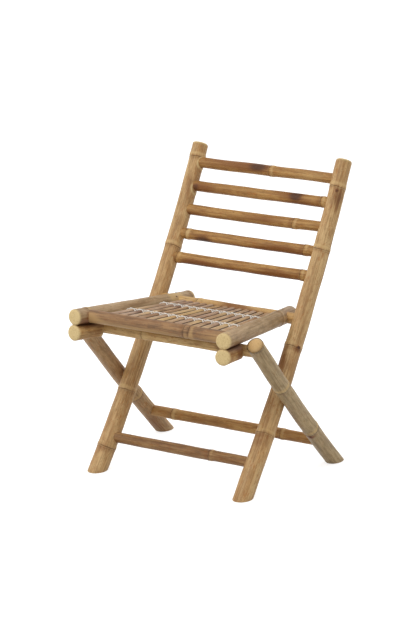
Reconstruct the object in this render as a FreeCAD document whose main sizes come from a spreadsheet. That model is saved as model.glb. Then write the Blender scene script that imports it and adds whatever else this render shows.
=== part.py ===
"""A bamboo folding chair: crossed poles, a slatted seat hinged to the back frame, and a leg frame.

The chair stands on the floor plane z = 0 and faces -Y. Left and right are those of someone who
looks at its front, so left is -X. Lengths are millimetres and angles are degrees.
"""
import FreeCAD, Part
import math
import os
import re

import Sketcher

V = FreeCAD.Vector
SIDES = (("left", -1), ("right", 1))

# Driving dimensions of the chair, one spreadsheet cell each.
SIZES = {
    # Back frame: two long bowed posts that run from the front feet to the top of the back.
    "post_height": 760.0,
    "post_foot_y": -204.3,
    "post_top_y": 290.1,
    "post_bow": 30.0,
    "post_spacing": 428.0,
    "post_foot_diameter": 48.0,
    "post_top_diameter": 40.8,
    # Leg frame: two shorter poles from the rear feet to the crossbar under the seat.
    "leg_height": 394.2,
    "leg_foot_y": 179.8,
    "leg_top_y": -216.9,
    "leg_bow": -8.0,
    "leg_spacing": 517.0,
    "leg_diameter": 42.0,
    "leg_dome": 18.0,
    "leg_dome_flat": 8.0,
    # Cross pieces of the two frames.
    "rung_diameter": 28.0,
    "top_rung_drop": 46.0,
    "low_rung_rise": 97.7,
    "front_stretcher_diameter": 27.6,
    "front_stretcher_height": 74.0,
    "rear_stretcher_diameter": 28.4,
    "rear_stretcher_height": 75.3,
    "crossbar_diameter": 29.6,
    "crossbar_drop": 16.5,
    "pivot_dowel_diameter": 12.0,
    "pivot_dowel_depth": 15.0,
    # Seat: two side rails that draw together towards the back, and what they carry.
    "axle_height": 389.5,
    "axle_diameter": 29.0,
    "rail_diameter": 40.0,
    "rail_front_overhang": 101.3,
    "rail_rear_overhang": 56.0,
    "rail_spacing_front": 430.0,
    "rail_spacing_axle": 317.0,
    "front_rail_diameter": 33.0,
    "front_rail_setback": 46.0,
    "stop_block_diameter": 40.0,
    "stop_scoop": 0.6,
    "stop_lip": 1.0,
    "mouth_slant": 50.0,
    "mouth_brow": 3.7,
    "slat_margin_front": 20.0,
    "slat_margin_rear": 5.1,
    "slat_gap": 3.6,
    "slat_edge": 2.6,
    "slat_crown": 2.9,
    "slat_underside": 2.0,
    "groove_depth": 8.0,
    "lashing_diameter": 1.9,
    "front_lashing_reach": 217.0,
    "rear_lashing_reach": 90.0,
    # Joints, fasteners and clearances.
    "tenon_diameter": 18.0,
    "tenon_length": 22.0,
    "nail_diameter": 2.4,
    "nail_head_diameter": 5.0,
    "nail_head_thickness": 1.2,
    "nail_length": 36.0,
    "screw_diameter": 4.0,
    "screw_head_diameter": 8.0,
    "screw_head_thickness": 2.4,
    "screw_length": 52.0,
    "screw_offset": 20.0,
    "node_rise": 1.1,
    "node_length": 9.0,
    "end_round": 2.5,
    "shoulder_depth": 0.6,
    "fit_clearance": 0.1,
    "moving_clearance": 0.3,
}

SLATS = 13
RUNGS = 5


def on_pole(pole, height):
    """Formula for the Y of a bowed pole's axis at a height above the floor."""
    share = f"({height} / {pole}_height)"
    return (f"({pole}_foot_y + ({pole}_top_y - {pole}_foot_y) * {share}"
            f" + 4 * {pole}_bow * {share} * (1 - {share}))")


def post_radius(height):
    """Formula for a post's radius at a height above the floor."""
    return (f"((post_foot_diameter + (post_top_diameter - post_foot_diameter)"
            f" * {height} / post_height) / 2)")


# Places that follow from the driving dimensions, as formulas in the same spreadsheet.
PLACES = {
    "post_chord": "sqrt((post_top_y - post_foot_y)^2 + post_height^2)",
    "leg_chord": "sqrt((leg_top_y - leg_foot_y)^2 + leg_height^2)",
    "axle_y": on_pole("post", "axle_height"),
    "crossbar_height": "leg_height - crossbar_drop",
    "crossbar_y": on_pole("leg", "crossbar_height"),
    "front_stretcher_y": on_pole("post", "front_stretcher_height"),
    "rear_stretcher_y": on_pole("leg", "rear_stretcher_height"),
    # The two bowed axes cross where a quadratic in the height is zero.
    "cross_square": "4 * (leg_bow / leg_height^2 - post_bow / post_height^2)",
    "cross_slope": "(post_top_y - post_foot_y + 4 * post_bow) / post_height"
                   " - (leg_top_y - leg_foot_y + 4 * leg_bow) / leg_height",
    "cross_start": "post_foot_y - leg_foot_y",
    "crossing_height": "2 * cross_start / (0 - cross_slope"
                       " - sqrt(cross_slope^2 - 4 * cross_square * cross_start))",
    "crossing_y": on_pole("post", "crossing_height"),
    "drop_to_crossbar": "rail_diameter / 2 + crossbar_diameter / 2 + moving_clearance",
    "crossbar_distance": "sqrt((crossbar_y - axle_y)^2 + (crossbar_height - axle_height)^2)",
    "crossbar_reach": "sqrt(crossbar_distance^2 - drop_to_crossbar^2)",
    "rail_front_reach": "crossbar_reach + rail_front_overhang",
    "rail_flare": "(rail_spacing_front - rail_spacing_axle) / 2 / rail_front_reach",
    "rail_stretch": "sqrt(1 + rail_flare^2)",
    "rail_length": "(rail_front_reach + rail_rear_overhang) * rail_stretch",
    "front_rail_reach": "rail_front_reach - front_rail_setback",
    "stop_drop": "rail_diameter / 2 + stop_block_diameter / 2 - stop_scoop",
    "stop_length": "(rail_front_reach - crossbar_reach + stop_lip) * rail_stretch",
    "slat_front": "front_rail_reach - front_rail_diameter / 2 + groove_depth",
    "slat_rear": "axle_diameter / 2 - groove_depth",
    # The slats and their gaps fill the room between the rails, less a margin on each side.
    "slat_width_front": f"(rail_spacing_front - rail_diameter - 2 * slat_margin_front"
                        f" - {SLATS - 1} * slat_gap) / {SLATS}",
    "slat_width_rear": f"(rail_spacing_axle - rail_diameter - 2 * slat_margin_rear"
                       f" - {SLATS - 1} * slat_gap) / {SLATS}",
    "slat_pitch_front": "slat_width_front + slat_gap",
    "slat_pitch_rear": "slat_width_rear + slat_gap",
    "slat_thickness": "slat_edge + slat_crown",
    # The rungs are spread evenly from the posts' tops down to the axle.
    "top_rung_height": "post_height - top_rung_drop",
    "low_rung_height": "axle_height + low_rung_rise",
    "rung_pitch": f"(top_rung_height - low_rung_height) / {RUNGS - 1}",
}
for number in range(1, RUNGS + 1):
    PLACES[f"rung_{number}_height"] = f"top_rung_height - {number - 1} * rung_pitch"
    PLACES[f"rung_{number}_y"] = on_pole("post", f"rung_{number}_height")

# Places of the node rings, as shares of each pole's length from its foot, front or left end.
NODES = {
    "left_post": (0.069, 0.242, 0.462, 0.685, 0.957),
    "right_post": (0.187, 0.446, 0.734, 0.917),
    "left_leg": (0.335, 0.72),
    "right_leg": (0.303, 0.66),
    "back_rung_1": (0.527,),
    "back_rung_2": (0.912,),
    "back_rung_3": (0.133, 0.764),
    "back_rung_4": (0.09, 0.857),
    "back_rung_5": (0.083, 0.863),
    "front_stretcher": (0.696,),
    "rear_stretcher": (0.165, 0.779),
    "leg_crossbar": (0.361, 0.782),
    "seat_front_rail": (0.69,),
    "left_seat_rail": (0.094, 0.853),
    "right_seat_rail": (0.779,),
}

doc = FreeCAD.newDocument("folding_chair")
sheet = doc.addObject("Spreadsheet::Sheet", "Sizes")
parts = []


def fill_sheet():
    """Writes the driving dimensions and the derived places, one aliased cell each."""
    row = 1
    for alias, number in SIZES.items():
        sheet.set(f"A{row}", alias)
        sheet.set(f"B{row}", str(number))
        sheet.setAlias(f"B{row}", alias)
        row += 1
    for alias, formula in PLACES.items():
        sheet.set(f"A{row}", alias)
        sheet.set(f"B{row}", "=" + formula)
        sheet.setAlias(f"B{row}", alias)
        row += 1
    doc.recompute()


def bound(formula):
    """The formula with each alias pointed at the spreadsheet."""
    known = set(SIZES) | set(PLACES)
    return re.sub(r"[a-z_][a-z_0-9]*", lambda m: "Sizes." + m[0] if m[0] in known else m[0], formula)


def value(formula):
    """The number that an alias or a formula over the cells comes to."""
    sheet.set("D1", "=" + formula)
    sheet.recompute()
    return float(sheet.get("D1"))


def turn(axis, degrees, base=V(0, 0, 0)):
    """A placement that turns about an axis and then moves to base."""
    return FreeCAD.Placement(base, FreeCAD.Rotation(axis, degrees))


def along(start, direction):
    """A placement that sends local +Z along a direction from a start point."""
    return FreeCAD.Placement(start, FreeCAD.Rotation(V(0, 0, 1), direction))


def keep(piece, name):
    """Names a finished sub-part and lists it for export."""
    piece.Label = name
    parts.append(piece)
    return piece


def plane(body, role):
    """An origin plane of a body, by its role."""
    return next(item for item in body.Origin.OriginFeatures if item.Role == role)


def new_sketch(body, role, name):
    """A sketch on one of the body's own origin planes."""
    sketch = body.newObject("Sketcher::SketchObject", name)
    sketch.AttachmentSupport = (plane(body, role), [""])
    sketch.MapMode = "FlatFace"
    return sketch


def dimension(sketch, kind, geometry, point, formula, start=1.0):
    """Fixes one coordinate of a sketch point from the origin."""
    index = sketch.addConstraint(Sketcher.Constraint(kind, -1, 1, geometry, point, start))
    sketch.setExpression(f"Constraints[{index}]", bound(formula))


def turned(name, profile, placement):
    """A solid of revolution about its local Z, from (station, radius) formulas along it."""
    body = doc.addObject("PartDesign::Body", name + "_body")
    sketch = new_sketch(body, "XZ_Plane", name + "_profile")
    points = [(profile[0][0], None)] + list(profile) + [(profile[-1][0], None)]
    rough = [V(0.0 if radius is None else 9.0, 10.0 * place, 0)
             for place, (station, radius) in enumerate(points)]
    count = len(points)
    for place in range(count):
        sketch.addGeometry(Part.LineSegment(rough[place], rough[(place + 1) % count]))
    for place in range(count):
        sketch.addConstraint(Sketcher.Constraint("Coincident", place, 2, (place + 1) % count, 1))
    for place, (station, radius) in enumerate(points):
        if radius is None:
            sketch.addConstraint(Sketcher.Constraint("PointOnObject", place, 1, -2))
        else:
            dimension(sketch, "DistanceX", place, 1, radius)
        if station == "0":
            sketch.addConstraint(Sketcher.Constraint("PointOnObject", place, 1, -1))
        else:
            dimension(sketch, "DistanceY", place, 1, station)
    spin = body.newObject("PartDesign::Revolution", name + "_turn")
    spin.Profile = sketch
    spin.ReferenceAxis = (sketch, ["V_Axis"])
    spin.Angle = 360
    body.Placement = placement
    return body


def ringed(name, length, radius):
    """Stations of the node rings of a straight pole: a low raised band at each node."""
    rings = []
    for share in NODES.get(name, ()):
        rings.append((f"{length} * {share} - node_length / 2", radius))
        rings.append((f"{length} * {share}", f"{radius} + node_rise"))
        rings.append((f"{length} * {share} + node_length / 2", radius))
    return rings


def bowed_pole(name, pole, foot_radius, top_radius, dome, dome_flat):
    """A bowed, tapered pole lofted through circles, with its foot below the floor.

    The circles stand square to the chord from foot to top. The axis is a parabola: its
    sideways shift along Y is four times the bow times share times one minus share. A dome is a
    quarter of an ellipse in three steps, which leaves a small flat.
    """
    body = doc.addObject("PartDesign::Body", name + "_body")
    rise = f"({pole}_height / {pole}_chord)"
    run = f"(({pole}_top_y - {pole}_foot_y) / {pole}_chord)"
    # Sections as (share of the chord, extra length along it, extra radius).
    sections = [("-0.05", "0", "0")]
    for share in NODES[name]:
        sections.append((str(share), "0 - node_length / 2", "0"))
        sections.append((str(share), "0", "node_rise"))
        sections.append((str(share), "node_length / 2", "0"))
    if dome:
        for step in range(1, 4):
            angle = math.radians(30.0 * step)
            sections.append(("1", f"{dome} * {math.sin(angle):.4f}",
                             f"({top_radius} - {dome_flat} / 2) * {math.cos(angle) - 1:.4f}"))
        sections.insert(-3, ("1", "0", "0"))
    else:
        sections.append(("1", "0 - end_round", "0"))
        sections.append(("1", "0", "0 - end_round"))
    sketches = []
    for number, (share, extra, swell) in enumerate(sections):
        shift = f"4 * {pole}_bow * {share} * (1 - {share})"
        sketch = new_sketch(body, "XY_Plane", f"{name}_section_{number}")
        sketch.addGeometry(Part.Circle(V(0, 0, 0), V(0, 0, 1), 20))
        sketch.addConstraint(Sketcher.Constraint("Coincident", 0, 3, -1, 1))
        sketch.addConstraint(Sketcher.Constraint("Radius", 0, 20))
        taper = f"{foot_radius} + ({top_radius} - {foot_radius}) * {share} + {swell}"
        sketch.setExpression("Constraints[1]", bound(taper))
        sketch.setExpression("AttachmentOffset.Base.y", bound(f"{shift} * {rise}"))
        height = f"{pole}_chord * {share} + {extra} + {shift} * {run}"
        sketch.setExpression("AttachmentOffset.Base.z", bound(height))
        sketches.append(sketch)
    loft = body.newObject("PartDesign::AdditiveLoft", name + "_loft")
    loft.Profile = sketches[0]
    loft.Sections = sketches[1:]
    loft.Ruled = True
    return body


def pole_placement(pole, x):
    """Where a bowed pole stands: its foot on the floor, leaning along its chord."""
    lean = math.atan2(value(f"{pole}_top_y") - value(f"{pole}_foot_y"), value(f"{pole}_height"))
    return turn(V(1, 0, 0), -math.degrees(lean), V(x, value(f"{pole}_foot_y"), 0))


def pole_direction(pole, height):
    """Unit direction of a bowed pole's axis, upwards, at a height."""
    share = height / value(f"{pole}_height")
    slope = (value(f"{pole}_top_y") - value(f"{pole}_foot_y")
             + 4 * value(f"{pole}_bow") * (1 - 2 * share)) / value(f"{pole}_height")
    return V(0, slope, 1).normalize()


def cylinder(name, radius, length, placement):
    """A plain cylinder along its local Z."""
    solid = doc.addObject("Part::Cylinder", name)
    solid.setExpression("Radius", bound(radius))
    solid.setExpression("Height", bound(length))
    solid.Placement = placement
    return solid


def box(name, width, depth, height, placement):
    """A plain box from its local origin."""
    solid = doc.addObject("Part::Box", name)
    solid.setExpression("Length", bound(width))
    solid.setExpression("Width", bound(depth))
    solid.setExpression("Height", bound(height))
    solid.Placement = placement
    return solid


def cut(name, base, tools):
    """The base less every tool."""
    tool = tools[0]
    if len(tools) > 1:
        tool = doc.addObject("Part::MultiFuse", name + "_tools")
        tool.Shapes = tools
    result = doc.addObject("Part::Cut", name)
    result.Base = base
    result.Tool = tool
    return result


def group(name, solids):
    """Separate solids that share one sub-part."""
    bundle = doc.addObject("Part::Compound", name)
    bundle.Links = solids
    return keep(bundle, name)


def fastener(name, kind, start, direction):
    """A nail or screw: a shank with a flat head, driven from start along direction."""
    return turned(name, [("0", f"{kind}_head_diameter / 2"),
                         (f"{kind}_head_thickness", f"{kind}_head_diameter / 2"),
                         (f"{kind}_head_thickness", f"{kind}_diameter / 2"),
                         (f"{kind}_length", f"{kind}_diameter / 2")], along(start, direction))


def seat_inset(outer, inner):
    """How far from a round pole's axis a square shoulder sits wholly inside its surface."""
    return f"(sqrt(({outer})^2 - ({inner})^2) - shoulder_depth)"


def socket(name, side, radius, inset, centre, clearance):
    """Tools for one blind joint: the seat of the bar's shoulder and the deeper tenon hole."""
    x, y, z = centre
    direction = V(side, 0, 0)
    seat = cylinder(name + "_seat", f"{radius} + {clearance}", "post_foot_diameter",
                    along(V(x - side * value(f"{inset} + post_foot_diameter"), y, z), direction))
    hole = cylinder(name + "_hole", f"tenon_diameter / 2 + {clearance}",
                    f"tenon_length + 2 * {clearance}",
                    along(V(x - side * value(f"{inset} + {clearance}"), y, z), direction))
    return [seat, hole]


def bar(name, length, radius, inset, y, z):
    """A cross bar along X with a stepped tenon at each end, centred on the chair's middle plane."""
    whole = f"({length} - 2 * {inset} + 2 * tenon_length)"
    start = V(-value(whole) / 2, y, z)
    return turned(name, tenoned(name, whole, radius), along(start, V(1, 0, 0)))


def tenoned(name, whole, radius):
    """Profile of a bar with node rings and a tenon at each end."""
    profile = [("0", "tenon_diameter / 2"), ("tenon_length", "tenon_diameter / 2"),
               ("tenon_length", radius)]
    profile += ringed(name, whole, radius)
    profile += [(f"{whole} - tenon_length", radius),
                (f"{whole} - tenon_length", "tenon_diameter / 2"), (whole, "tenon_diameter / 2")]
    return profile


def bar_sockets(name, side, spacing, radius, inset, y, z):
    """The joint tools for one end of a bar."""
    return socket(name, side, radius, inset, (side * value(spacing) / 2, y, z), "fit_clearance")


fill_sheet()

# Side view places that the placements share.
axle = V(0, value("axle_y"), value("axle_height"))
seat_pitch = (math.degrees(math.atan2(value("axle_height - crossbar_height"),
                                      value("axle_y - crossbar_y")))
              - math.degrees(math.asin(value("drop_to_crossbar / crossbar_distance"))))
seat = turn(V(1, 0, 0), seat_pitch, axle)
flare = math.degrees(math.atan(value("rail_flare")))


def in_seat(x, y, z):
    """A point given along the level seat, from the axle's centre, as a point of the chair."""
    return seat.multVec(V(x, y, z))


def seat_way(x, y, z):
    """A direction given along the level seat, as a direction of the chair."""
    return seat.Rotation.multVec(V(x, y, z))


def cross_bar(name, prefix, outer, y, z):
    """What describes a cross bar: name, radius, inset in its poles, pole radius, and its place."""
    radius = f"{prefix}_diameter / 2"
    return name, radius, seat_inset(outer, radius), outer, value(y), value(z)


# Cross bars of the back frame: five rungs and the front stretcher.
back_bars = [cross_bar(f"back_rung_{number}", "rung", post_radius(f"rung_{number}_height"),
                       f"rung_{number}_y", f"rung_{number}_height")
             for number in range(1, RUNGS + 1)]
back_bars.append(cross_bar("front_stretcher", "front_stretcher",
                           post_radius("front_stretcher_height"),
                           "front_stretcher_y", "front_stretcher_height"))

# Cross bars of the leg frame: the crossbar that the seat rests on, and the rear stretcher.
leg_bars = [cross_bar("leg_crossbar", "crossbar", "leg_diameter / 2",
                      "crossbar_y", "crossbar_height"),
            cross_bar("rear_stretcher", "rear_stretcher", "leg_diameter / 2",
                      "rear_stretcher_y", "rear_stretcher_height")]


def bar_nails(name, bars, pole, way):
    """One nail through each end of each bar, from the pole's front or rear face."""
    nails = []
    for bar_name, _, inset, outer, y, z in bars:
        up = pole_direction(pole, z)
        out = V(0, up.z, -up.y) * way
        for side_name, side in SIDES:
            x = side * (value(f"{pole}_spacing / 2 - {inset} + tenon_length / 2"))
            start = V(x, y, z) + out * value(f"sqrt(({outer})^2 - (tenon_length / 2 - {inset})^2)")
            nails.append(fastener(f"{bar_name}_{side_name}_nail", "nail", start, out * -1))
    return group(name, nails)


rung_nails = bar_nails("rung_nails", back_bars[:RUNGS], "post", 1)
front_nails = bar_nails("front_stretcher_nails", back_bars[RUNGS:], "post", 1)
crossbar_nails = bar_nails("crossbar_nails", leg_bars[:1], "leg", -1)
rear_nails = bar_nails("rear_stretcher_nails", leg_bars[1:], "leg", 1)
for bars, spacing, nails in ((back_bars[:RUNGS], "post_spacing", rung_nails),
                             (back_bars[RUNGS:], "post_spacing", front_nails),
                             (leg_bars[:1], "leg_spacing", crossbar_nails),
                             (leg_bars[1:], "leg_spacing", rear_nails)):
    for name, radius, inset, _, y, z in bars:
        keep(cut(name, bar(name, spacing, radius, inset, y, z), [nails]), name)

# The seat's axle: a bar that fills the side rails' bores and turns in the posts.
AXLE_INSET = seat_inset(post_radius("axle_height"), "axle_diameter / 2")
axle_length = f"(post_spacing - 2 * {AXLE_INSET} - 2 * moving_clearance + 2 * tenon_length)"
axle_body = turned("seat_axle", tenoned("seat_axle", axle_length, "axle_diameter / 2"),
                   along(V(-value(axle_length) / 2, axle.y, axle.z), V(1, 0, 0)))
SLOT_HEIGHT = "slat_thickness + 2 * fit_clearance"
SLOT_BASE = value("slat_underside - fit_clearance")
rear_slot = box("axle_groove", "rail_spacing_axle - rail_diameter", "2 * groove_depth", SLOT_HEIGHT,
                seat.multiply(FreeCAD.Placement(V(-value("rail_spacing_axle - rail_diameter") / 2,
                                                  -value("slat_rear + 2 * groove_depth"),
                                                  SLOT_BASE), FreeCAD.Rotation())))

# The front rail: a bar between the side rails, grooved for the slats' front ends.
front_half = "(rail_spacing_axle / 2 + rail_flare * front_rail_reach)"
FRONT_INSET = (f"({seat_inset('rail_diameter / 2', 'front_rail_diameter / 2')}"
               " - rail_flare * front_rail_diameter / 2)")
front_length = f"(2 * {front_half} - 2 * {FRONT_INSET} + 2 * tenon_length)"
front_body = turned("seat_front_rail",
                    tenoned("seat_front_rail", front_length, "front_rail_diameter / 2"),
                    along(in_seat(-value(front_length) / 2, -value("front_rail_reach"), 0),
                          V(1, 0, 0)))
front_slot = box("front_rail_groove", f"2 * {front_half} - rail_diameter", "2 * groove_depth",
                 SLOT_HEIGHT,
                 seat.multiply(FreeCAD.Placement(V(-value(f"{front_half} - rail_diameter / 2"),
                                                   -value("slat_front"), SLOT_BASE),
                                                 FreeCAD.Rotation())))


def rail_x(reach):
    """Distance of a side rail's axis from the middle plane, at a reach in front of the axle."""
    return value(f"rail_spacing_axle / 2 + rail_flare * {reach}")


def rail_way(side):
    """Direction of a side rail's axis, from its front end to its rear end."""
    return seat_way(-side * value("rail_flare"), 1, 0).normalize()


# Nails and screws of the seat.
axle_nails = []
front_rail_nails = []
block_screws = []
for side_name, side in SIDES:
    top = value("rail_diameter / 2")
    axle_nails.append(fastener(f"{side_name}_axle_nail", "nail",
                               in_seat(side * rail_x("0"), 0, top), seat_way(0, 0, -1)))
    front_rail_nails.append(fastener(
        f"{side_name}_front_rail_nail", "nail",
        in_seat(side * rail_x("front_rail_reach"), -value("front_rail_reach"), top),
        seat_way(0, 0, -1)))
    # One screw stands on each side of the front rail's joint.
    for screw_name, way in (("front", 1), ("rear", -1)):
        reach = value(f"front_rail_reach + {way} * screw_offset")
        drop = value("stop_drop + stop_block_diameter / 2")
        block_screws.append(fastener(
            f"{side_name}_{screw_name}_block_screw", "screw",
            in_seat(side * rail_x(f"{reach}"), -reach, -drop), seat_way(0, 0, 1)))
axle_nails = group("axle_nails", axle_nails)
front_rail_nails = group("front_rail_nails", front_rail_nails)
block_screws = group("block_screws", block_screws)

keep(cut("seat_axle", axle_body, [rear_slot, axle_nails]), "seat_axle")
keep(cut("seat_front_rail", front_body, [front_slot, front_rail_nails]), "seat_front_rail")

# Side rails of the seat, and the stop blocks screwed under their front ends.
for side_name, side in SIDES:
    name = rail_name = f"{side_name}_seat_rail"
    radius = "rail_diameter / 2"
    profile = [("0", f"{radius} - end_round"), ("end_round", radius)]
    profile += ringed(name, "rail_length", radius)
    profile += [("rail_length - end_round", radius), ("rail_length", f"{radius} - end_round")]
    front_end = in_seat(side * rail_x("rail_front_reach"), -value("rail_front_reach"), 0)
    rail = turned(name, profile, along(front_end, rail_way(side)))
    bore = cylinder(f"{name}_bore", "axle_diameter / 2 + fit_clearance", "3 * rail_diameter",
                    along(in_seat(side * (rail_x("0") - value("1.5 * rail_diameter")), 0, 0),
                          V(side, 0, 0)))
    joint = socket(f"{name}_joint", side, "front_rail_diameter / 2", FRONT_INSET,
                   tuple(in_seat(side * rail_x("front_rail_reach"), -value("front_rail_reach"), 0)),
                   "fit_clearance")
    keep(cut(name, rail, [bore] + joint + [axle_nails, front_rail_nails, block_screws]), name)

    name = f"{side_name}_stop_block"
    radius = "stop_block_diameter / 2"
    start = in_seat(side * rail_x("rail_front_reach"), -value("rail_front_reach"),
                    -value("stop_drop"))
    block = turned(name, [("0", f"{radius} - end_round"), ("end_round", radius),
                          ("stop_length", radius)], along(start, rail_way(side)))
    # The top is scooped to the rail and its node ring.
    radius = "(rail_diameter / 2 + fit_clearance)"
    scoop = turned(f"{name}_scoop", [("0", radius)] + ringed(rail_name, "rail_length", radius)
                   + [("rail_length", radius)], along(front_end, rail_way(side)))
    # The mouth clears the crossbar and the way it leaves, down and back, as the seat is lifted.
    gape = "crossbar_diameter / 2 + moving_clearance"
    middle = V(side * rail_x("crossbar_reach"), -value("crossbar_reach"), -value("drop_to_crossbar"))
    across = value("2 * stop_block_diameter")
    mouth = cylinder(f"{name}_mouth", gape, "4 * stop_block_diameter",
                     along(in_seat(middle.x - across, middle.y, middle.z), V(1, 0, 0)))
    slot_place = seat.multiply(turn(V(1, 0, 0), -value("mouth_slant"), middle))
    slot_place = slot_place.multiply(FreeCAD.Placement(V(-across, 0, -value(gape)),
                                                       FreeCAD.Rotation()))
    slot = box(f"{name}_slot", "4 * stop_block_diameter", "2 * stop_block_diameter",
               f"2 * ({gape})", slot_place)
    brow_place = seat.multiply(FreeCAD.Placement(V(middle.x - across,
                                                   middle.y - value("mouth_brow"),
                                                   middle.z), FreeCAD.Rotation()))
    brow = box(f"{name}_brow", "4 * stop_block_diameter", "2 * stop_block_diameter",
               "stop_block_diameter", brow_place)
    keep(cut(name, block, [scoop, mouth, slot, brow, block_screws]), name)

# Slats: split bamboo with a flat underside and a crowned top, drawing together towards the back.
for number in range(1, SLATS + 1):
    name = f"slat_{number:02d}"
    place = number - (SLATS + 1) / 2
    body = doc.addObject("PartDesign::Body", name)
    ends = []
    for end, reach in (("front", "slat_front"), ("rear", "slat_rear")):
        half = value(f"slat_width_{end} / 2")
        base, edge, crown = (value(formula) for formula in (
            "slat_underside", "slat_underside + slat_edge", "slat_underside + slat_thickness"))
        sketch = new_sketch(body, "XZ_Plane", f"{name}_{end}")
        corners = [V(-half, base, 0), V(half, base, 0), V(half, edge, 0), V(-half, edge, 0)]
        sketch.addGeometry(Part.LineSegment(corners[0], corners[1]))
        sketch.addGeometry(Part.LineSegment(corners[1], corners[2]))
        sketch.addGeometry(Part.Arc(corners[2], V(0, crown, 0), corners[3]))
        sketch.addGeometry(Part.LineSegment(corners[3], corners[0]))
        sketch.addConstraint(Sketcher.Constraint("Coincident", 0, 2, 1, 1))
        sketch.addConstraint(Sketcher.Constraint("Coincident", 1, 2, 2, 1))
        sketch.addConstraint(Sketcher.Constraint("Coincident", 2, 2, 3, 1))
        sketch.addConstraint(Sketcher.Constraint("Coincident", 3, 2, 0, 1))
        for geometry, way, height, start in ((0, -1, "slat_underside", base),
                                             (1, 1, "slat_underside", base),
                                             (2, 1, "slat_underside + slat_edge", edge),
                                             (3, -1, "slat_underside + slat_edge", edge)):
            dimension(sketch, "DistanceX", geometry, 1, f"{way} * slat_width_{end} / 2", way * half)
            dimension(sketch, "DistanceY", geometry, 1, height, start)
        radius = f"((slat_width_{end} / 2)^2 + slat_crown^2) / (2 * slat_crown)"
        bend = sketch.addConstraint(Sketcher.Constraint("Radius", 2, value(radius)))
        sketch.setExpression(f"Constraints[{bend}]", bound(radius))
        sketch.setExpression("AttachmentOffset.Base.x", bound(f"{place} * slat_pitch_{end}"))
        sketch.setExpression("AttachmentOffset.Base.z", bound(reach))
        ends.append(sketch)
    loft = body.newObject("PartDesign::AdditiveLoft", f"{name}_loft")
    loft.Profile = ends[0]
    loft.Sections = [ends[1]]
    loft.Ruled = True
    body.Placement = seat
    keep(body, name)

# Lashings: a cord looped round all the slats, over their tops and back under them.
for name, reach in (("front_lashing", "front_lashing_reach"), ("rear_lashing", "rear_lashing_reach")):
    share = f"({reach} - slat_rear) / (slat_front - slat_rear)"
    half = (f"({(SLATS - 1) / 2} * (slat_pitch_rear + (slat_pitch_front - slat_pitch_rear) * {share})"
            f" + (slat_width_rear + (slat_width_front - slat_width_rear) * {share}) / 2)")
    thick = "lashing_diameter / 2"
    rise = "((slat_thickness + lashing_diameter) / 2 + fit_clearance)"
    middle = V(0, -value(reach), value("slat_underside + slat_thickness / 2"))
    spans = []
    for way in (-1, 1):
        run = cylinder(f"{name}_run_{way + 2}", thick, f"2 * {half}",
                       along(in_seat(-value(half), middle.y, middle.z + way * value(rise)),
                             V(1, 0, 0)))
        loop = doc.addObject("Part::Torus", f"{name}_loop_{way + 2}")
        loop.setExpression("Radius1", bound(rise))
        loop.setExpression("Radius2", bound(thick))
        loop.Angle3 = 180
        stand = FreeCAD.Placement(V(way * value(half), middle.y, middle.z),
                                  FreeCAD.Rotation(V(0, 0, 1), V(way, 0, 0), V(0, way, 0), "XYZ"))
        loop.Placement = seat.multiply(stand)
        spans += [run, loop]
    lashing = doc.addObject("Part::MultiFuse", name)
    lashing.Shapes = spans
    keep(lashing, name)

# Pivot dowels: one on each side, fixed in the post and turning in the leg.
for side_name, side in SIDES:
    start = V(side * value("post_spacing / 2 - pivot_dowel_depth"), value("crossing_y"),
              value("crossing_height"))
    length = "(leg_spacing - post_spacing) / 2 + 2 * pivot_dowel_depth"
    keep(cylinder(f"{side_name}_pivot_dowel", "pivot_dowel_diameter / 2", length,
                  along(start, V(side, 0, 0))), f"{side_name}_pivot_dowel")

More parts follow.
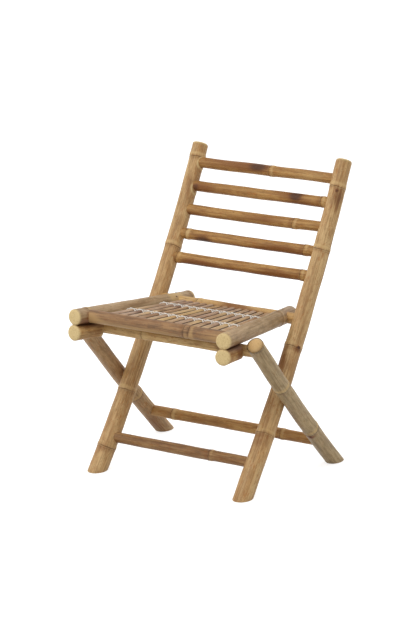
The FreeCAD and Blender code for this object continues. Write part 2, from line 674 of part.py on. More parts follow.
# Posts and legs, cut flush with the floor and drilled for what they hold.
for side_name, side in SIDES:
    floor_place = FreeCAD.Placement(V(-value("leg_spacing"), -value("leg_spacing"),
                                      -value("post_height / 4")), FreeCAD.Rotation())
    crossing = V(0, value("crossing_y"), value("crossing_height"))

    name = f"{side_name}_post"
    pole = bowed_pole(name, "post", "post_foot_diameter / 2", "post_top_diameter / 2", None, None)
    pole.Placement = pole_placement("post", side * value("post_spacing") / 2)
    tools = [box(f"{name}_floor", "2 * leg_spacing", "2 * leg_spacing", "post_height / 4",
                 floor_place)]
    for bar_name, radius, inset, _, y, z in back_bars:
        tools += bar_sockets(f"{name}_{bar_name}", side, "post_spacing", radius, inset, y, z)
    tools += socket(f"{name}_axle", side, "axle_diameter / 2", AXLE_INSET,
                    (side * value("post_spacing") / 2, axle.y, axle.z), "moving_clearance")[:1]
    tools.append(cylinder(f"{name}_journal", "tenon_diameter / 2 + fit_clearance",
                          "tenon_length + moving_clearance",
                          along(V(side * value(f"post_spacing / 2 - {AXLE_INSET}"), axle.y, axle.z),
                                V(side, 0, 0))))
    tools.append(cylinder(f"{name}_dowel_hole", "pivot_dowel_diameter / 2 + fit_clearance",
                          "2 * post_foot_diameter",
                          along(crossing + V(side * value("post_spacing / 2 - pivot_dowel_depth"
                                                          " - fit_clearance"), 0, 0),
                                V(side, 0, 0))))
    keep(cut(name, pole, tools + [rung_nails, front_nails]), name)

    name = f"{side_name}_leg"
    pole = bowed_pole(name, "leg", "leg_diameter / 2", "leg_diameter / 2", "leg_dome",
                      "leg_dome_flat")
    pole.Placement = pole_placement("leg", side * value("leg_spacing") / 2)
    tools = [box(f"{name}_floor", "2 * leg_spacing", "2 * leg_spacing", "post_height / 4",
                 floor_place)]
    for bar_name, radius, inset, _, y, z in leg_bars:
        tools += bar_sockets(f"{name}_{bar_name}", side, "leg_spacing", radius, inset, y, z)
    tools.append(cylinder(f"{name}_dowel_hole", "pivot_dowel_diameter / 2 + fit_clearance",
                          "2 * leg_diameter",
                          along(crossing + V(side * value("leg_spacing / 2 + pivot_dowel_depth"
                                                          " + fit_clearance"), 0, 0),
                                V(-side, 0, 0))))
    keep(cut(name, pole, tools + [crossbar_nails, rear_nails]), name)

sheet.clear("D1")
doc.recompute()

problems = [f"{item.Name}: {item.State}" for item in doc.Objects
            if {"Invalid", "Error"} & set(item.State)]
for piece in parts:
    if piece.Shape.isNull() or not piece.Shape.isValid():
        problems.append(f"{piece.Label}: bad shape")
if problems:
    raise SystemExit("\n".join(problems))

os.makedirs("parts", exist_ok=True)
for piece in parts:
    piece.Shape.exportStep(f"parts/{piece.Label}.step")
whole = Part.makeCompound([piece.Shape for piece in parts]).BoundBox
print(f"{len(parts)} sub-parts, box {whole.XMin:.2f} {whole.YMin:.2f} {whole.ZMin:.2f}"
      f" to {whole.XMax:.2f} {whole.YMax:.2f} {whole.ZMax:.2f}")
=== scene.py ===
"""Looks of a bamboo folding chair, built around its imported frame.

The back frame, the leg frame and the seat are classes. Each holds its sizes in metres as fields,
builds its poles, slats and cords as numpy surfaces in the frame's own space, and dresses them.
"""
from __future__ import annotations

import logging
import math
from dataclasses import dataclass, field
from enum import Enum
from typing import Callable, ClassVar, Iterable, Sequence

import bpy
import numpy as np
from mathutils import Matrix, Vector


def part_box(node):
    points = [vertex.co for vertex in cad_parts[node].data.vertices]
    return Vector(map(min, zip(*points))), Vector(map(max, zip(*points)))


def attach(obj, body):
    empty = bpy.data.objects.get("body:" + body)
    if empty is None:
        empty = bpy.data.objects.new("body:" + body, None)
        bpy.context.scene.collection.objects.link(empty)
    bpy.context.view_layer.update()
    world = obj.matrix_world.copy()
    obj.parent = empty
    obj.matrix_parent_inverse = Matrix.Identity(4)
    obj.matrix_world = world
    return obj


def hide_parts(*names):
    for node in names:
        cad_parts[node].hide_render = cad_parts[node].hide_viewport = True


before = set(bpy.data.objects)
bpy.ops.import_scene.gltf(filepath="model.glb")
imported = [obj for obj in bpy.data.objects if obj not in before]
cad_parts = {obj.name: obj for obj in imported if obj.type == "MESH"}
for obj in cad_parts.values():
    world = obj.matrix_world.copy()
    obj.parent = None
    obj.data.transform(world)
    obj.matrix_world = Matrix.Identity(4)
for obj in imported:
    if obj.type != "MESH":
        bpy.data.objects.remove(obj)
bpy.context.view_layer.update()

log = logging.getLogger("chair")

Array = np.ndarray
Curve = Callable[[Array], Array]
MM = 0.001
TURN = 2.0 * math.pi
SIDES = (("left", -1.0), ("right", 1.0))
TO_FRONT = (0.0, -1.0, 0.0)
UPWARDS = (0.0, 0.0, 1.0)


# Sizes of the chair, in metres, as in the frame.


@dataclass(frozen=True)
class Pole:
    """A bowed pole of one of the two crossed frames, seen from the side.

    Its axis is a parabola in the YZ plane: height runs evenly from foot to top, and Y is shifted
    by four times the bow times share times one minus share.
    """

    height: float
    foot_y: float
    top_y: float
    bow: float
    foot_radius: float
    top_radius: float

    def y_at(self, height: float | Array) -> float | Array:
        """Y of the axis at a height above the floor."""
        share = height / self.height
        return self.foot_y + (self.top_y - self.foot_y) * share + 4 * self.bow * share * (1 - share)

    def point(self, x: float, share: Array) -> Array:
        """Points of the axis at shares of the height, as rows of three coordinates."""
        height = share * self.height
        return np.stack([np.full_like(share, x), self.y_at(height), height], axis=1)

    def radius_at(self, share: Array) -> Array:
        """Radius at shares of the length, in a straight line from foot to top."""
        return self.foot_radius + (self.top_radius - self.foot_radius) * share


@dataclass(frozen=True)
class ChairSizes:
    """Driving sizes that the sub-assemblies share."""

    post: Pole = Pole(0.760, -0.2043, 0.2901, 0.030, 0.024, 0.0204)
    leg: Pole = Pole(0.3942, 0.1798, -0.2169, -0.008, 0.021, 0.021)
    post_spacing: float = 0.428
    leg_spacing: float = 0.517
    rung_radius: float = 0.014
    front_stretcher_radius: float = 0.0138
    rear_stretcher_radius: float = 0.0142
    crossbar_radius: float = 0.0148
    axle_radius: float = 0.0145
    tenon_radius: float = 0.009
    tenon_length: float = 0.022
    axle_height: float = 0.3895
    crossbar_height: float = 0.3777
    front_stretcher_height: float = 0.074
    rear_stretcher_height: float = 0.0753
    top_rung_height: float = 0.714
    rung_pitch: float = 0.0567
    rail_radius: float = 0.020
    rail_front_overhang: float = 0.1013
    rail_rear_overhang: float = 0.056
    rail_half_front: float = 0.215
    rail_half_axle: float = 0.1585
    front_rail_radius: float = 0.0165
    front_rail_setback: float = 0.046
    block_radius: float = 0.020
    stop_scoop: float = 0.0006
    clearance: float = 0.0003

    @property
    def axle(self) -> Array:
        """Centre of the seat's axle."""
        return np.array([0.0, self.post.y_at(self.axle_height), self.axle_height])

    @property
    def crossbar(self) -> Array:
        """Centre of the leg frame's crossbar."""
        return np.array([0.0, self.leg.y_at(self.crossbar_height), self.crossbar_height])

    @property
    def crossbar_drop(self) -> float:
        """How far the crossbar's centre lies under the side rails' axes."""
        return self.rail_radius + self.crossbar_radius + self.clearance

    @property
    def crossbar_reach(self) -> float:
        """Reach of the crossbar in front of the axle, along the seat."""
        _, back, up = self.axle - self.crossbar
        return math.sqrt(back ** 2 + up ** 2 - self.crossbar_drop ** 2)

    @property
    def rail_front_reach(self) -> float:
        """Reach of the side rails' front ends."""
        return self.crossbar_reach + self.rail_front_overhang

    @property
    def seat_pitch(self) -> float:
        """Turn of the seat about X, in radians, so that its rails rest on the crossbar."""
        _, back, up = self.axle - self.crossbar
        return math.atan2(up, back) - math.asin(self.crossbar_drop / math.hypot(back, up))

    @property
    def flare(self) -> float:
        """How far a side rail moves outwards for each metre towards the front."""
        return (self.rail_half_front - self.rail_half_axle) / self.rail_front_reach

    def rail_x(self, reach: float) -> float:
        """Distance of a side rail's axis from the middle plane, at a reach in front of the axle."""
        return self.rail_half_axle + self.flare * reach

    def seat_points(self, local: Array) -> Array:
        """Turns points given along the level seat into points of the chair.

        Args:
            local: Rows of three coordinates, from the axle's centre.

        Returns:
            The rows turned about X by the seat's pitch and moved to the axle.
        """
        cos, sin = math.cos(self.seat_pitch), math.sin(self.seat_pitch)
        x, y, z = np.asarray(local, float).reshape(-1, 3).T
        return np.stack([x, y * cos - z * sin, y * sin + z * cos], axis=1) + self.axle


SIZES = ChairSizes()


# Shapes.


class End(Enum):
    """How the end of a pole is finished."""

    SAWN = "sawn"
    DOMED = "domed"
    TENON = "tenon"
    FLOOR = "floor"
    COPED = "coped"


@dataclass(frozen=True)
class Patch:
    """A mark on a pole's skin.

    Attributes:
        place: Share of the pole's length from its start.
        bearing: Where it lies around the pole, in radians.
        reach: Half its length along the pole, in metres, or its radius if it is round.
        strength: How strong it is, from 0 to about 1, or below 0 for a pale patch.
    """

    place: float
    bearing: float
    reach: float
    strength: float = 1.0


@dataclass(frozen=True)
class Marks:
    """What time and work left on one pole.

    Attributes:
        nodes: Places of the node rings, as shares of the pole's length.
        scorches_and_shade: Patches charred nearly black, and patches of painted shade where parts meet.
        tones: Patches of darker or paler skin.
        scars: Round branch scars.
        collars: Rings of pale torn fibre around a bar that enters the pole.
        dimples: Round hollows where a nail was driven.
        seed: Seed of the pole's small irregularities.
    """

    nodes: Sequence[float] = ()
    scorches_and_shade: Sequence[Patch] = ()
    tones: Sequence[Patch] = ()
    scars: Sequence[Patch] = ()
    collars: Sequence[Patch] = ()
    dimples: Sequence[Patch] = ()
    seed: int = 1


def new_piece(name: str, points: Array, faces: Iterable[Sequence[int]], smooth: bool = True
              ) -> bpy.types.Object:
    """Makes a mesh object at the origin from points and faces.

    Args:
        name: The piece's name.
        points: Rows of three coordinates, in metres.
        faces: Corner numbers of each face.
        smooth: Whether the faces are shaded smooth.

    Returns:
        The new object, linked to the scene.
    """
    mesh = bpy.data.meshes.new(name)
    mesh.from_pydata(points.tolist(), [], [tuple(face) for face in faces])
    mesh.polygons.foreach_set("use_smooth", np.full(len(mesh.polygons), smooth))
    mesh.update()
    piece = bpy.data.objects.new(name, mesh)
    bpy.context.scene.collection.objects.link(piece)
    return piece


def set_vectors(piece: bpy.types.Object, name: str, rows: Array) -> None:
    """Stores three numbers per vertex under an attribute's name."""
    attribute = piece.data.attributes.new(name, "FLOAT_VECTOR", "POINT")
    attribute.data.foreach_set("vector", np.asarray(rows, np.float32).ravel())


def set_numbers(piece: bpy.types.Object, name: str, row: Array) -> None:
    """Stores one number per vertex under an attribute's name."""
    attribute = piece.data.attributes.new(name, "FLOAT", "POINT")
    attribute.data.foreach_set("value", np.asarray(row, np.float32).ravel())


def closed_tube(rows: int, around: int) -> list[tuple[int, ...]]:
    """Faces of a tube of full rings between a first and a last single point.

    The points are numbered: the first tip, then the rings in order, then the last tip. Faces
    point outwards when a ring turns right-handed about the way along the tube.

    Args:
        rows: How many rings there are.
        around: How many points each ring has.

    Returns:
        Corner numbers of the quads, and of the fan of triangles at each tip.
    """
    ring = np.arange(around)
    after = (ring + 1) % around
    base = 1 + np.arange(rows - 1)[:, None] * around
    quads = np.stack([base + ring, base + after, base + around + after, base + around + ring], -1)
    first = np.stack([np.zeros(around, int), 1 + after, 1 + ring], -1)
    last_tip = 1 + rows * around
    last_row = last_tip - around
    last = np.stack([np.full(around, last_tip), last_row + ring, last_row + after], -1)
    return [tuple(face) for faces in (quads.reshape(-1, 4), first, last) for face in faces]


def bell(distance: Array, width: float) -> Array:
    """A bell curve: one over e to the square of distance over width."""
    return np.exp(-((distance / width) ** 2))


def smooth_step(share: Array) -> Array:
    """Zero to one with level ends: the share squared, times three minus twice the share."""
    return share * share * (3 - 2 * share)


def ramp(value: Array, low: float, high: float) -> Array:
    """Zero up to a low level, one from a high level, and a straight line between them."""
    return np.clip((value - low) / (high - low), 0, 1)


# Height, place past the ring and half width of the swelling, ridge and groove, in millimetres.
NODE_BELLS = ((1.1, 5.0, 6.0), (0.5, -1.8, 1.4), (-0.8, 0.0, 0.9))


def node_profile(distance: Array) -> Array:
    """Height of the skin near a node ring.

    A low swelling just past the node, a sharp ridge where the sheath sat, and a thin groove
    between the two: the sum of three bell curves.

    Args:
        distance: Distance past the ring, in metres.

    Returns:
        Height over the plain skin, in metres.
    """
    return sum(height * MM * bell(distance - place * MM, width * MM)
               for height, place, width in NODE_BELLS)


def turned_from(bearing: Array, middle: float) -> Array:
    """Signed angle from a middle bearing, between minus and plus half a turn."""
    return np.angle(np.exp(1j * (bearing - middle)))


@dataclass(frozen=True)
class Groove:
    """A square groove along a cross bar for the slats' ends.

    Attributes:
        facing: 1 where it opens to bearing 0, and -1 where it opens to half a turn.
        middle: Height of its middle over the bar's axis.
        height: Its height.
        depth: Its depth from the bar's skin.
        reach: Half its length, from the bar's middle.
    """

    facing: float
    middle: float
    height: float
    depth: float
    reach: float


@dataclass(frozen=True)
class Skin:
    """What stands out from a pole's plain round, in metres and radians.

    Attributes:
        wave_orders: How many times each long wave bends around the pole.
        wave_height: Height of the first wave. Each next one has a smaller share of it.
        wave_length: Length of the first wave along the pole.
        wave_growth: How much longer each next wave is.
        wave_swing: How far a wave turns around the pole as it runs along it.
        ring_waver: Bends around the pole and height of the waves that a node ring follows.
        flat_depth: Depth of the flat above a node ring.
        flat_width: Its half width around the pole.
        flat_bearing: Where the first flat lies. Each next one lies opposite.
        flat_fullness: How evenly deep a flat is along the pole, less being more even.
        scar_height: Height of a branch scar's knob.
        scar_depth: Depth of the eye in it.
        scar_eye: The eye's share of the knob's radius.
        collar_height: Height of a torn collar.
        collar_width: Its half width.
        dimple_depth: Depth of a nail's hollow.
    """

    wave_orders: tuple[int, ...] = (1, 2, 3, 2)
    wave_height: float = 0.4 * MM
    wave_length: float = 0.16
    wave_growth: float = 0.11
    wave_swing: float = 1.2
    ring_waver: tuple[tuple[int, float], ...] = ((1, 1.3 * MM), (3, 0.5 * MM), (7, 0.25 * MM))
    flat_depth: float = 0.8 * MM
    flat_width: float = 0.42
    flat_bearing: float = 1.1
    flat_fullness: float = 0.6
    scar_height: float = 2.0 * MM
    scar_depth: float = 2.6 * MM
    scar_eye: float = 0.4
    collar_height: float = 0.8 * MM
    collar_width: float = 2.2 * MM
    dimple_depth: float = 0.7 * MM


@dataclass(frozen=True)
class Stain:
    """Widths, in metres and radians, and strengths of what colours a pole's skin.

    Attributes:
        line_width: Half width of the dark line in a node ring.
        line_ripple: How much its strength varies around the pole.
        second_line: Place before the ring, half width and strength of a second, fainter line.
        bloom: Place past the ring, half width and strength of the pale band above it.
        soot: Place before the ring, half width and strength of the dark band under it.
        burn_and_shade_width: Half width of a charred patch around the pole, painted shade included.
        tone_width: Half width of a darker or paler patch around the pole.
        scar_burn: Share of a branch scar's radius that is charred.
        scar_halo: Reach of the brown around a scar, in radii, and its strength.
        collar_width: Half width of a collar's torn fibre.
        collar_share: How much of the pith's colour it takes.
        cut_reach: How far the cut face reaches along the pole from each kind of end.
        cut_level: How full the cut's colour is at the tip, over 1 to keep the face even.
        groove_shade: Strength of the painted shade in a groove.
    """

    line_width: float = 1.1 * MM
    line_ripple: float = 0.25
    second_line: tuple[float, float, float] = (3.8 * MM, 0.9 * MM, 0.4)
    bloom: tuple[float, float, float] = (8 * MM, 6 * MM, 0.65)
    soot: tuple[float, float, float] = (7 * MM, 6 * MM, 0.35)
    burn_and_shade_width: float = 1.05
    tone_width: float = 1.2
    scar_burn: float = 0.6
    scar_halo: tuple[float, float] = (1.1, 1.2)
    collar_width: float = 2.4 * MM
    collar_share: float = 0.7
    cut_reach: tuple[tuple[End, float], ...] = (
        (End.SAWN, 5.5 * MM), (End.FLOOR, 1.5 * MM), (End.DOMED, 13.0 * MM), (End.COPED, 0.2 * MM))
    cut_level: float = 1.25
    groove_shade: float = 1.2


class Culm:
    """One round bamboo pole as a closed surface over station and bearing.

    Attributes:
        AROUND: Points around the pole.
        STEP: Distance between rows, away from rings and ends.
        RING_ROWS: Rows about a node ring, by their distance past it.
        END_REACH: Length at each end that is left to the end's own rows.
        RIMS: Depth and width of the rounded rim of a sawn and of a domed end.
        FULL_SHARE: Rows with less than this share of the radius are part of an end.
        FLOOR_REACH: Length over which a pole's rows turn level towards the floor.
        COPE_REACH: Length over which rows are pulled to a coped end.
        SHARP_TURN: Angle past which a grooved pole's edges stay sharp.
        SEED_SHIFT: How far the bamboo's pattern is moved along for each seed, in metres.
    """

    AROUND = 72
    STEP = 2.4 * MM
    RING_ROWS = np.arange(-6.0, 16.0, 0.5) * MM
    END_REACH = 8 * MM
    RIMS = {End.SAWN: (5 * MM, 7.5 * MM), End.DOMED: (16 * MM, 20 * MM)}
    FULL_SHARE = 0.999
    FLOOR_REACH = 80 * MM
    COPE_REACH = 60 * MM
    SHARP_TURN = math.radians(50.0)
    SEED_SHIFT = 7.3

    def __init__(self, name: str, axis: Curve, length: float, radius: Curve,
                 ends: tuple[End, End], marks: Marks, side: Sequence[float],
                 cope: Callable[[Array, Array], Array] | None = None,
                 groove: Groove | None = None) -> None:
        """Holds what shapes the pole.

        Args:
            name: The piece's name.
            axis: Gives points of the axis for stations from 0 to length.
            length: The pole's length along its axis.
            radius: Gives the plain radius for stations.
            ends: Finish of the start and of the far end.
            marks: Node rings, charred patches, painted shade and scars.
            side: A direction that bearing 0 points to, across the pole.
            cope: Where a coped end stops, by the offsets towards bearing 0 and a quarter turn.
            groove: A groove along the pole.
        """
        self.name = name
        self.axis = axis
        self.length = length
        self.radius = radius
        self.ends = ends
        self.marks = marks
        self.side = np.array(side)
        self.cope = cope
        self.groove = groove
        self.skin = Skin()
        self.stain = Stain()
        self.random = np.random.default_rng(marks.seed)
        self.leans = self.random.uniform(0.0, TURN, (len(marks.nodes), 3))

    def stations(self) -> tuple[Array, Array]:
        """Places the rows, closer together at node rings and ends.

        Returns:
            Stations of the rows, and the share of the radius that each keeps.
        """
        places = [np.arange(0.0, self.length, self.STEP), [self.length]]
        places += [node * self.length + self.RING_ROWS for node in self.marks.nodes]
        places = np.unique(np.round(np.concatenate(places), 5))
        places = places[(places > self.END_REACH) & (places < self.length - self.END_REACH)]
        start, start_share = self.end_rows(self.ends[0])
        last, last_share = self.end_rows(self.ends[1])
        stations = np.concatenate([start, places, self.length - last[::-1]])
        shares = np.concatenate([start_share, np.ones(len(places)), last_share[::-1]])
        return stations, shares

    def end_rows(self, end: End) -> tuple[Array, Array]:
        """Rows of one end, from its middle outwards.

        A sawn end is flat with a rounded rim, a quarter of an ellipse. A dome is a quarter of a
        fuller one. A tenon is a plain cylinder up to its shoulder.

        Args:
            end: The end's finish.

        Returns:
            Each row's distance from the tip, and its share of the radius.
        """
        radius = float(self.radius(np.zeros(1))[0])
        if end is End.TENON:
            # The tip's face, a small chamfer, the tenon's side, and the shoulder.
            slim, shoulder = SIZES.tenon_radius / radius, SIZES.tenon_length
            return (np.array([0.0, 0.0, 0.5 * MM, shoulder - 0.1 * MM, shoulder]),
                    np.array([0.4 * slim, 0.95 * slim, slim, slim, 1.0]))
        if end is End.FLOOR:
            # Three rows in the sole, one for its broken edge and one where the skin begins.
            return (np.array([0.0, 0.0, 0.0, 0.4 * MM, 2.0 * MM]),
                    np.array([0.3, 0.7, 0.95, 0.985, 1.0]))
        if end is End.COPED:
            share = np.linspace(0.08, 1.0, 24)
            return np.zeros(len(share)), share
        deep, wide = self.RIMS[end]
        angle = np.linspace(0.0, math.pi / 2, 12)
        flat = np.linspace(0.0, 1.0 - wide / radius, 5)[1:-1] if wide < radius else np.zeros(0)
        rim = 1 - wide / radius * (1 - np.sin(angle))
        depth = np.concatenate([np.zeros(len(flat)), deep * (1 - np.cos(angle))])
        return depth, np.maximum(np.concatenate([flat, rim]), 0.04)

    def swell(self, station: Array, bearing: Array) -> Array:
        """What the surface stands out from the plain radius.

        Node rings, a shallow flat that runs up from alternate sides of each node, branch scars,
        and a few long cosine waves.

        Args:
            station: Stations of the rows.
            bearing: Bearings of the points around.

        Returns:
            The height for each row and bearing.
        """
        s, b, skin = station[:, None], bearing[None, :], self.skin
        out = np.zeros((len(station), len(bearing)))
        for count, order in enumerate(skin.wave_orders):
            phase, turn = self.random.uniform(0, TURN, 2)
            wave = TURN * s / (skin.wave_length + skin.wave_growth * count) + turn
            swing = order * b + phase + skin.wave_swing * np.sin(wave)
            out += skin.wave_height / (count + 1) * np.cos(swing)
        nodes = [share * self.length for share in self.marks.nodes]
        for number, (node, above) in enumerate(zip(nodes, nodes[1:] + [self.length])):
            out += node_profile(self.past_node(s, b, number))
            share = np.clip((s - node) / max(above - node, 10 * MM), 0, 1)
            flat = bell(turned_from(b, skin.flat_bearing + math.pi * number), skin.flat_width)
            rise = np.where(s > node, np.sin(math.pi * share) ** skin.flat_fullness, 0)
            out -= skin.flat_depth * flat * rise
        for patch in self.marks.scars:
            gap = self.gap(station, bearing, patch)
            out += skin.scar_height * bell(gap, patch.reach)
            out -= skin.scar_depth * bell(gap, skin.scar_eye * patch.reach)
        for patch in self.marks.collars:
            gap = self.gap(station, bearing, patch)
            out += skin.collar_height * patch.strength * bell(gap - patch.reach, skin.collar_width)
        for patch in self.marks.dimples:
            gap = self.gap(station, bearing, patch)
            out -= skin.dimple_depth * bell(gap, patch.reach)
        return out

    def past_node(self, s: Array, b: Array, number: int) -> Array:
        """Distance past a node ring, which leans and wavers as it goes round the pole.

        Args:
            s: Stations, as a column.
            b: Bearings, as a row.
            number: The ring's number from the pole's start.

        Returns:
            The distance for each station and bearing.
        """
        shift = sum(height * np.cos(order * b + phase)
                    for (order, height), phase in zip(self.skin.ring_waver, self.leans[number]))
        return s - self.marks.nodes[number] * self.length + shift

    def gap(self, station: Array, bearing: Array, patch: Patch) -> Array:
        """Distance over the skin from each row and bearing to a patch's middle."""
        around = turned_from(bearing[None, :], patch.bearing) * self.radius(station)[:, None]
        return np.hypot(station[:, None] - patch.place * self.length, around)

    def directions(self, stations: Array) -> tuple[Array, Array, Array]:
        """Unit vectors at each station, from two points of the axis close to it.

        Args:
            stations: Stations of the rows.

        Returns:
            The ways ahead, towards bearing 0 and towards a quarter turn.
        """
        ahead = self.axis(stations + 0.5 * MM) - self.axis(stations - 0.5 * MM)
        ahead /= np.linalg.norm(ahead, axis=1, keepdims=True)
        side = self.side - (ahead @ self.side)[:, None] * ahead
        side /= np.linalg.norm(side, axis=1, keepdims=True)
        return ahead, side, np.cross(ahead, side)

    def build(self) -> bpy.types.Object:
        """Makes the pole's mesh and its attributes.

        The surface is axis(s) + r(s, b) (side cos b + across sin b), with the radius r from the
        plain radius, the swell and the share of the row. Rows near the floor are moved along the
        pole until the first lies in the floor plane.

        Returns:
            The pole, with the attributes pole, marks and tone.
        """
        stations, shares = self.stations()
        bearing = np.arange(self.AROUND) * TURN / self.AROUND
        ahead, side, across = self.directions(stations)
        plain = self.radius(stations)
        full = np.where(shares > self.FULL_SHARE, 1.0, 0.0)[:, None]
        reach = shares[:, None] * plain[:, None] + self.swell(stations, bearing) * full
        near, far = reach * np.cos(bearing), reach * np.sin(bearing)
        if self.groove:
            near, far = self.cut_groove(near, far, plain, stations)
        rings = (self.axis(stations)[:, None] + near[:, :, None] * side[:, None]
                 + far[:, :, None] * across[:, None])
        if self.ends[0] is End.FLOOR:
            rings = self.meet_floor(rings, ahead, stations)
        if self.cope:
            share = np.clip(1 - (self.length - stations) / self.COPE_REACH, 0, 1)[:, None]
            pull = (self.cope(near, far) - self.length) * smooth_step(share)
            rings = rings + pull[:, :, None] * ahead[:, None]
        tips = np.stack([rings[0].mean(axis=0), rings[-1].mean(axis=0)])
        points = np.concatenate([tips[:1], rings.reshape(-1, 3), tips[1:]])
        piece = new_piece(self.name, points, closed_tube(len(stations), self.AROUND))
        if self.groove:
            piece.data.set_sharp_from_angle(angle=self.SHARP_TURN)
        local = np.stack([near, far, np.broadcast_to(stations[:, None], reach.shape)], axis=2)
        ends = np.array([[0.0, 0.0, stations[0]], [0.0, 0.0, stations[-1]]])
        local = np.concatenate([ends[:1], local.reshape(-1, 3), ends[1:]])
        set_vectors(piece, "pole", local + np.array([0.0, 0.0, self.SEED_SHIFT * self.marks.seed]))
        masks = self.mark_rows(stations, bearing).reshape(-1, 4)
        masks = np.concatenate([masks[:1], masks, masks[-1:]])
        set_vectors(piece, "marks", masks[:, :3])
        set_numbers(piece, "tone", masks[:, 3])
        return piece

    def groove_columns(self) -> Array:
        """The five columns of points that make a groove: rim, foot, middle, foot and rim."""
        middle = 0 if self.groove.facing > 0 else self.AROUND // 2
        return (middle + np.arange(-2, 3)) % self.AROUND

    def groove_rows(self, stations: Array) -> Array:
        """Whether the groove runs through each row."""
        return np.abs(stations - self.length / 2) < self.groove.reach

    def cut_groove(self, near: Array, far: Array, plain: Array, stations: Array
                   ) -> tuple[Array, Array]:
        """Moves five columns of points into a square groove.

        Across the bar, the heights are the groove's rims and its middle. The rim points stay on
        the bar's circle and the three others lie at the groove's depth.

        Args:
            near: Offsets towards bearing 0.
            far: Offsets towards a quarter turn.
            plain: The plain radius of each row.
            stations: Stations of the rows.

        Returns:
            The two offsets with the groove in them.
        """
        groove, columns = self.groove, self.groove_columns()
        rows = self.groove_rows(stations)[:, None]
        lips = np.array([-1.0, -1.0, 0.0, 1.0, 1.0]) * groove.facing
        height = groove.height / 2 * lips - groove.middle
        rim = np.sqrt(np.maximum(plain[:, None] ** 2 - height ** 2, 0.0))
        deep = np.broadcast_to(plain[:, None] - groove.depth, rim.shape)
        out = np.where(np.array([True, False, False, False, True]), rim, deep) * groove.facing
        near, far = near.copy(), far.copy()
        near[:, columns] = np.where(rows, out, near[:, columns])
        far[:, columns] = np.where(rows, height, far[:, columns])
        return near, far

    def meet_floor(self, rings: Array, ahead: Array, stations: Array) -> Array:
        """Moves the first rows along the pole until the first lies in the floor plane.

        The pull fades as one minus a smooth step.

        Args:
            rings: Points by row and bearing.
            ahead: Unit vectors along the pole.
            stations: Stations of the rows.

        Returns:
            The points after the move.
        """
        pull = 1 - smooth_step(np.clip(stations / self.FLOOR_REACH, 0, 1))
        rise = rings[:, :, 2] - rings[:, :, 2].mean(axis=1, keepdims=True)
        return rings - ahead[:, None] * (rise * pull[:, None] / ahead[:, None, 2])[:, :, None]

    def mark_rows(self, stations: Array, bearing: Array) -> Array:
        """Masks of the skin's colours.

        Args:
            stations: Stations of the rows.
            bearing: Bearings of the points around.

        Returns:
            Node line, scorching, cut face and tone for each row and bearing. The line and the scorching
            carry painted shade too.
        """
        s, b, stain = stations[:, None], bearing[None, :], self.stain
        line, burn_and_shade, cut, tone = np.zeros((4, len(stations), len(bearing)))
        for number, lean in enumerate(self.leans):
            past = self.past_node(s, b, number)
            ripple = 1 - stain.line_ripple + stain.line_ripple * np.cos(2 * b + lean[2])
            line = np.maximum(line, bell(past, stain.line_width) * ripple)
            place, width, strength = stain.second_line
            line = np.maximum(line, strength * bell(past + place, width))
            place, width, strength = stain.bloom
            tone -= strength * bell(past - place, width)
            place, width, strength = stain.soot
            tone += strength * bell(past + place, width)
        for patch in self.marks.scorches_and_shade:
            around = bell(turned_from(b, patch.bearing), stain.burn_and_shade_width)
            along = bell(s - patch.place * self.length, patch.reach)
            burn_and_shade = np.maximum(burn_and_shade, patch.strength * along * around)
        for patch in self.marks.tones:
            around = bell(turned_from(b, patch.bearing), stain.tone_width)
            tone += patch.strength * bell(s - patch.place * self.length, patch.reach) * around
        for patch in self.marks.scars:
            gap = self.gap(stations, bearing, patch)
            burn_and_shade = np.maximum(burn_and_shade, patch.strength * bell(gap, stain.scar_burn * patch.reach))
            reach, strength = stain.scar_halo
            tone += strength * patch.strength * bell(gap, reach * patch.reach)
        for patch in self.marks.collars:
            gap = self.gap(stations, bearing, patch) - patch.reach
            torn = stain.collar_share * patch.strength * bell(gap, stain.collar_width)
            cut = np.maximum(cut, torn)
        reaches = dict(stain.cut_reach)
        for end, near in ((self.ends[0], stations), (self.ends[1], self.length - stations)):
            if end in reaches:
                face = np.clip(stain.cut_level - near / reaches[end], 0, 1)[:, None]
                cut = np.maximum(cut, face)
        # A groove's floor takes the line colour: painted shade in the recess.
        if self.groove:
            foot = self.groove_columns()[1:4]
            line[np.ix_(self.groove_rows(stations), foot)] = stain.groove_shade
        return np.stack([line, burn_and_shade, cut, tone], axis=2)


def straight(start: Array, end: Array) -> tuple[Curve, float]:
    """A straight axis between two points.

    Args:
        start: The first point.
        end: The last point.

    Returns:
        The axis as a function of the station, and its length.
    """
    length = float(np.linalg.norm(end - start))
    way = (end - start) / length
    return (lambda station: start + np.asarray(station)[:, None] * way), length


class ArcLength:
    """A curve read by its length: a table of shares against length, read by linear steps."""

    CHORDS = 2000
    TIP = 0.001

    def __init__(self, curve: Curve) -> None:
        """Measures the curve in short chords.

        Args:
            curve: Gives points for shares from 0 to 1.
        """
        self.curve = curve
        self.shares = np.linspace(0.0, 1.0, self.CHORDS + 1)
        chords = np.linalg.norm(np.diff(curve(self.shares), axis=0), axis=1)
        self.lengths = np.concatenate([[0.0], np.cumsum(chords)])
        self.length = float(self.lengths[-1])

    def point(self, station: Array) -> Array:
        """Reads the curve, continued straight past both ends.

        Args:
            station: Lengths from the curve's start.

        Returns:
            The points as rows of three coordinates.
        """
        station = np.asarray(station, float)
        inside = np.clip(station, 0.0, self.length)
        points = self.curve(np.interp(inside, self.lengths, self.shares))
        ways = []
        for share in (0.0, 1.0 - self.TIP):
            first, last = self.curve(np.array([share, share + self.TIP]))
            ways.append((last - first) / np.linalg.norm(last - first))
        over = (station - inside)[:, None]
        return points + np.where(over < 0, over * ways[0], over * ways[1])


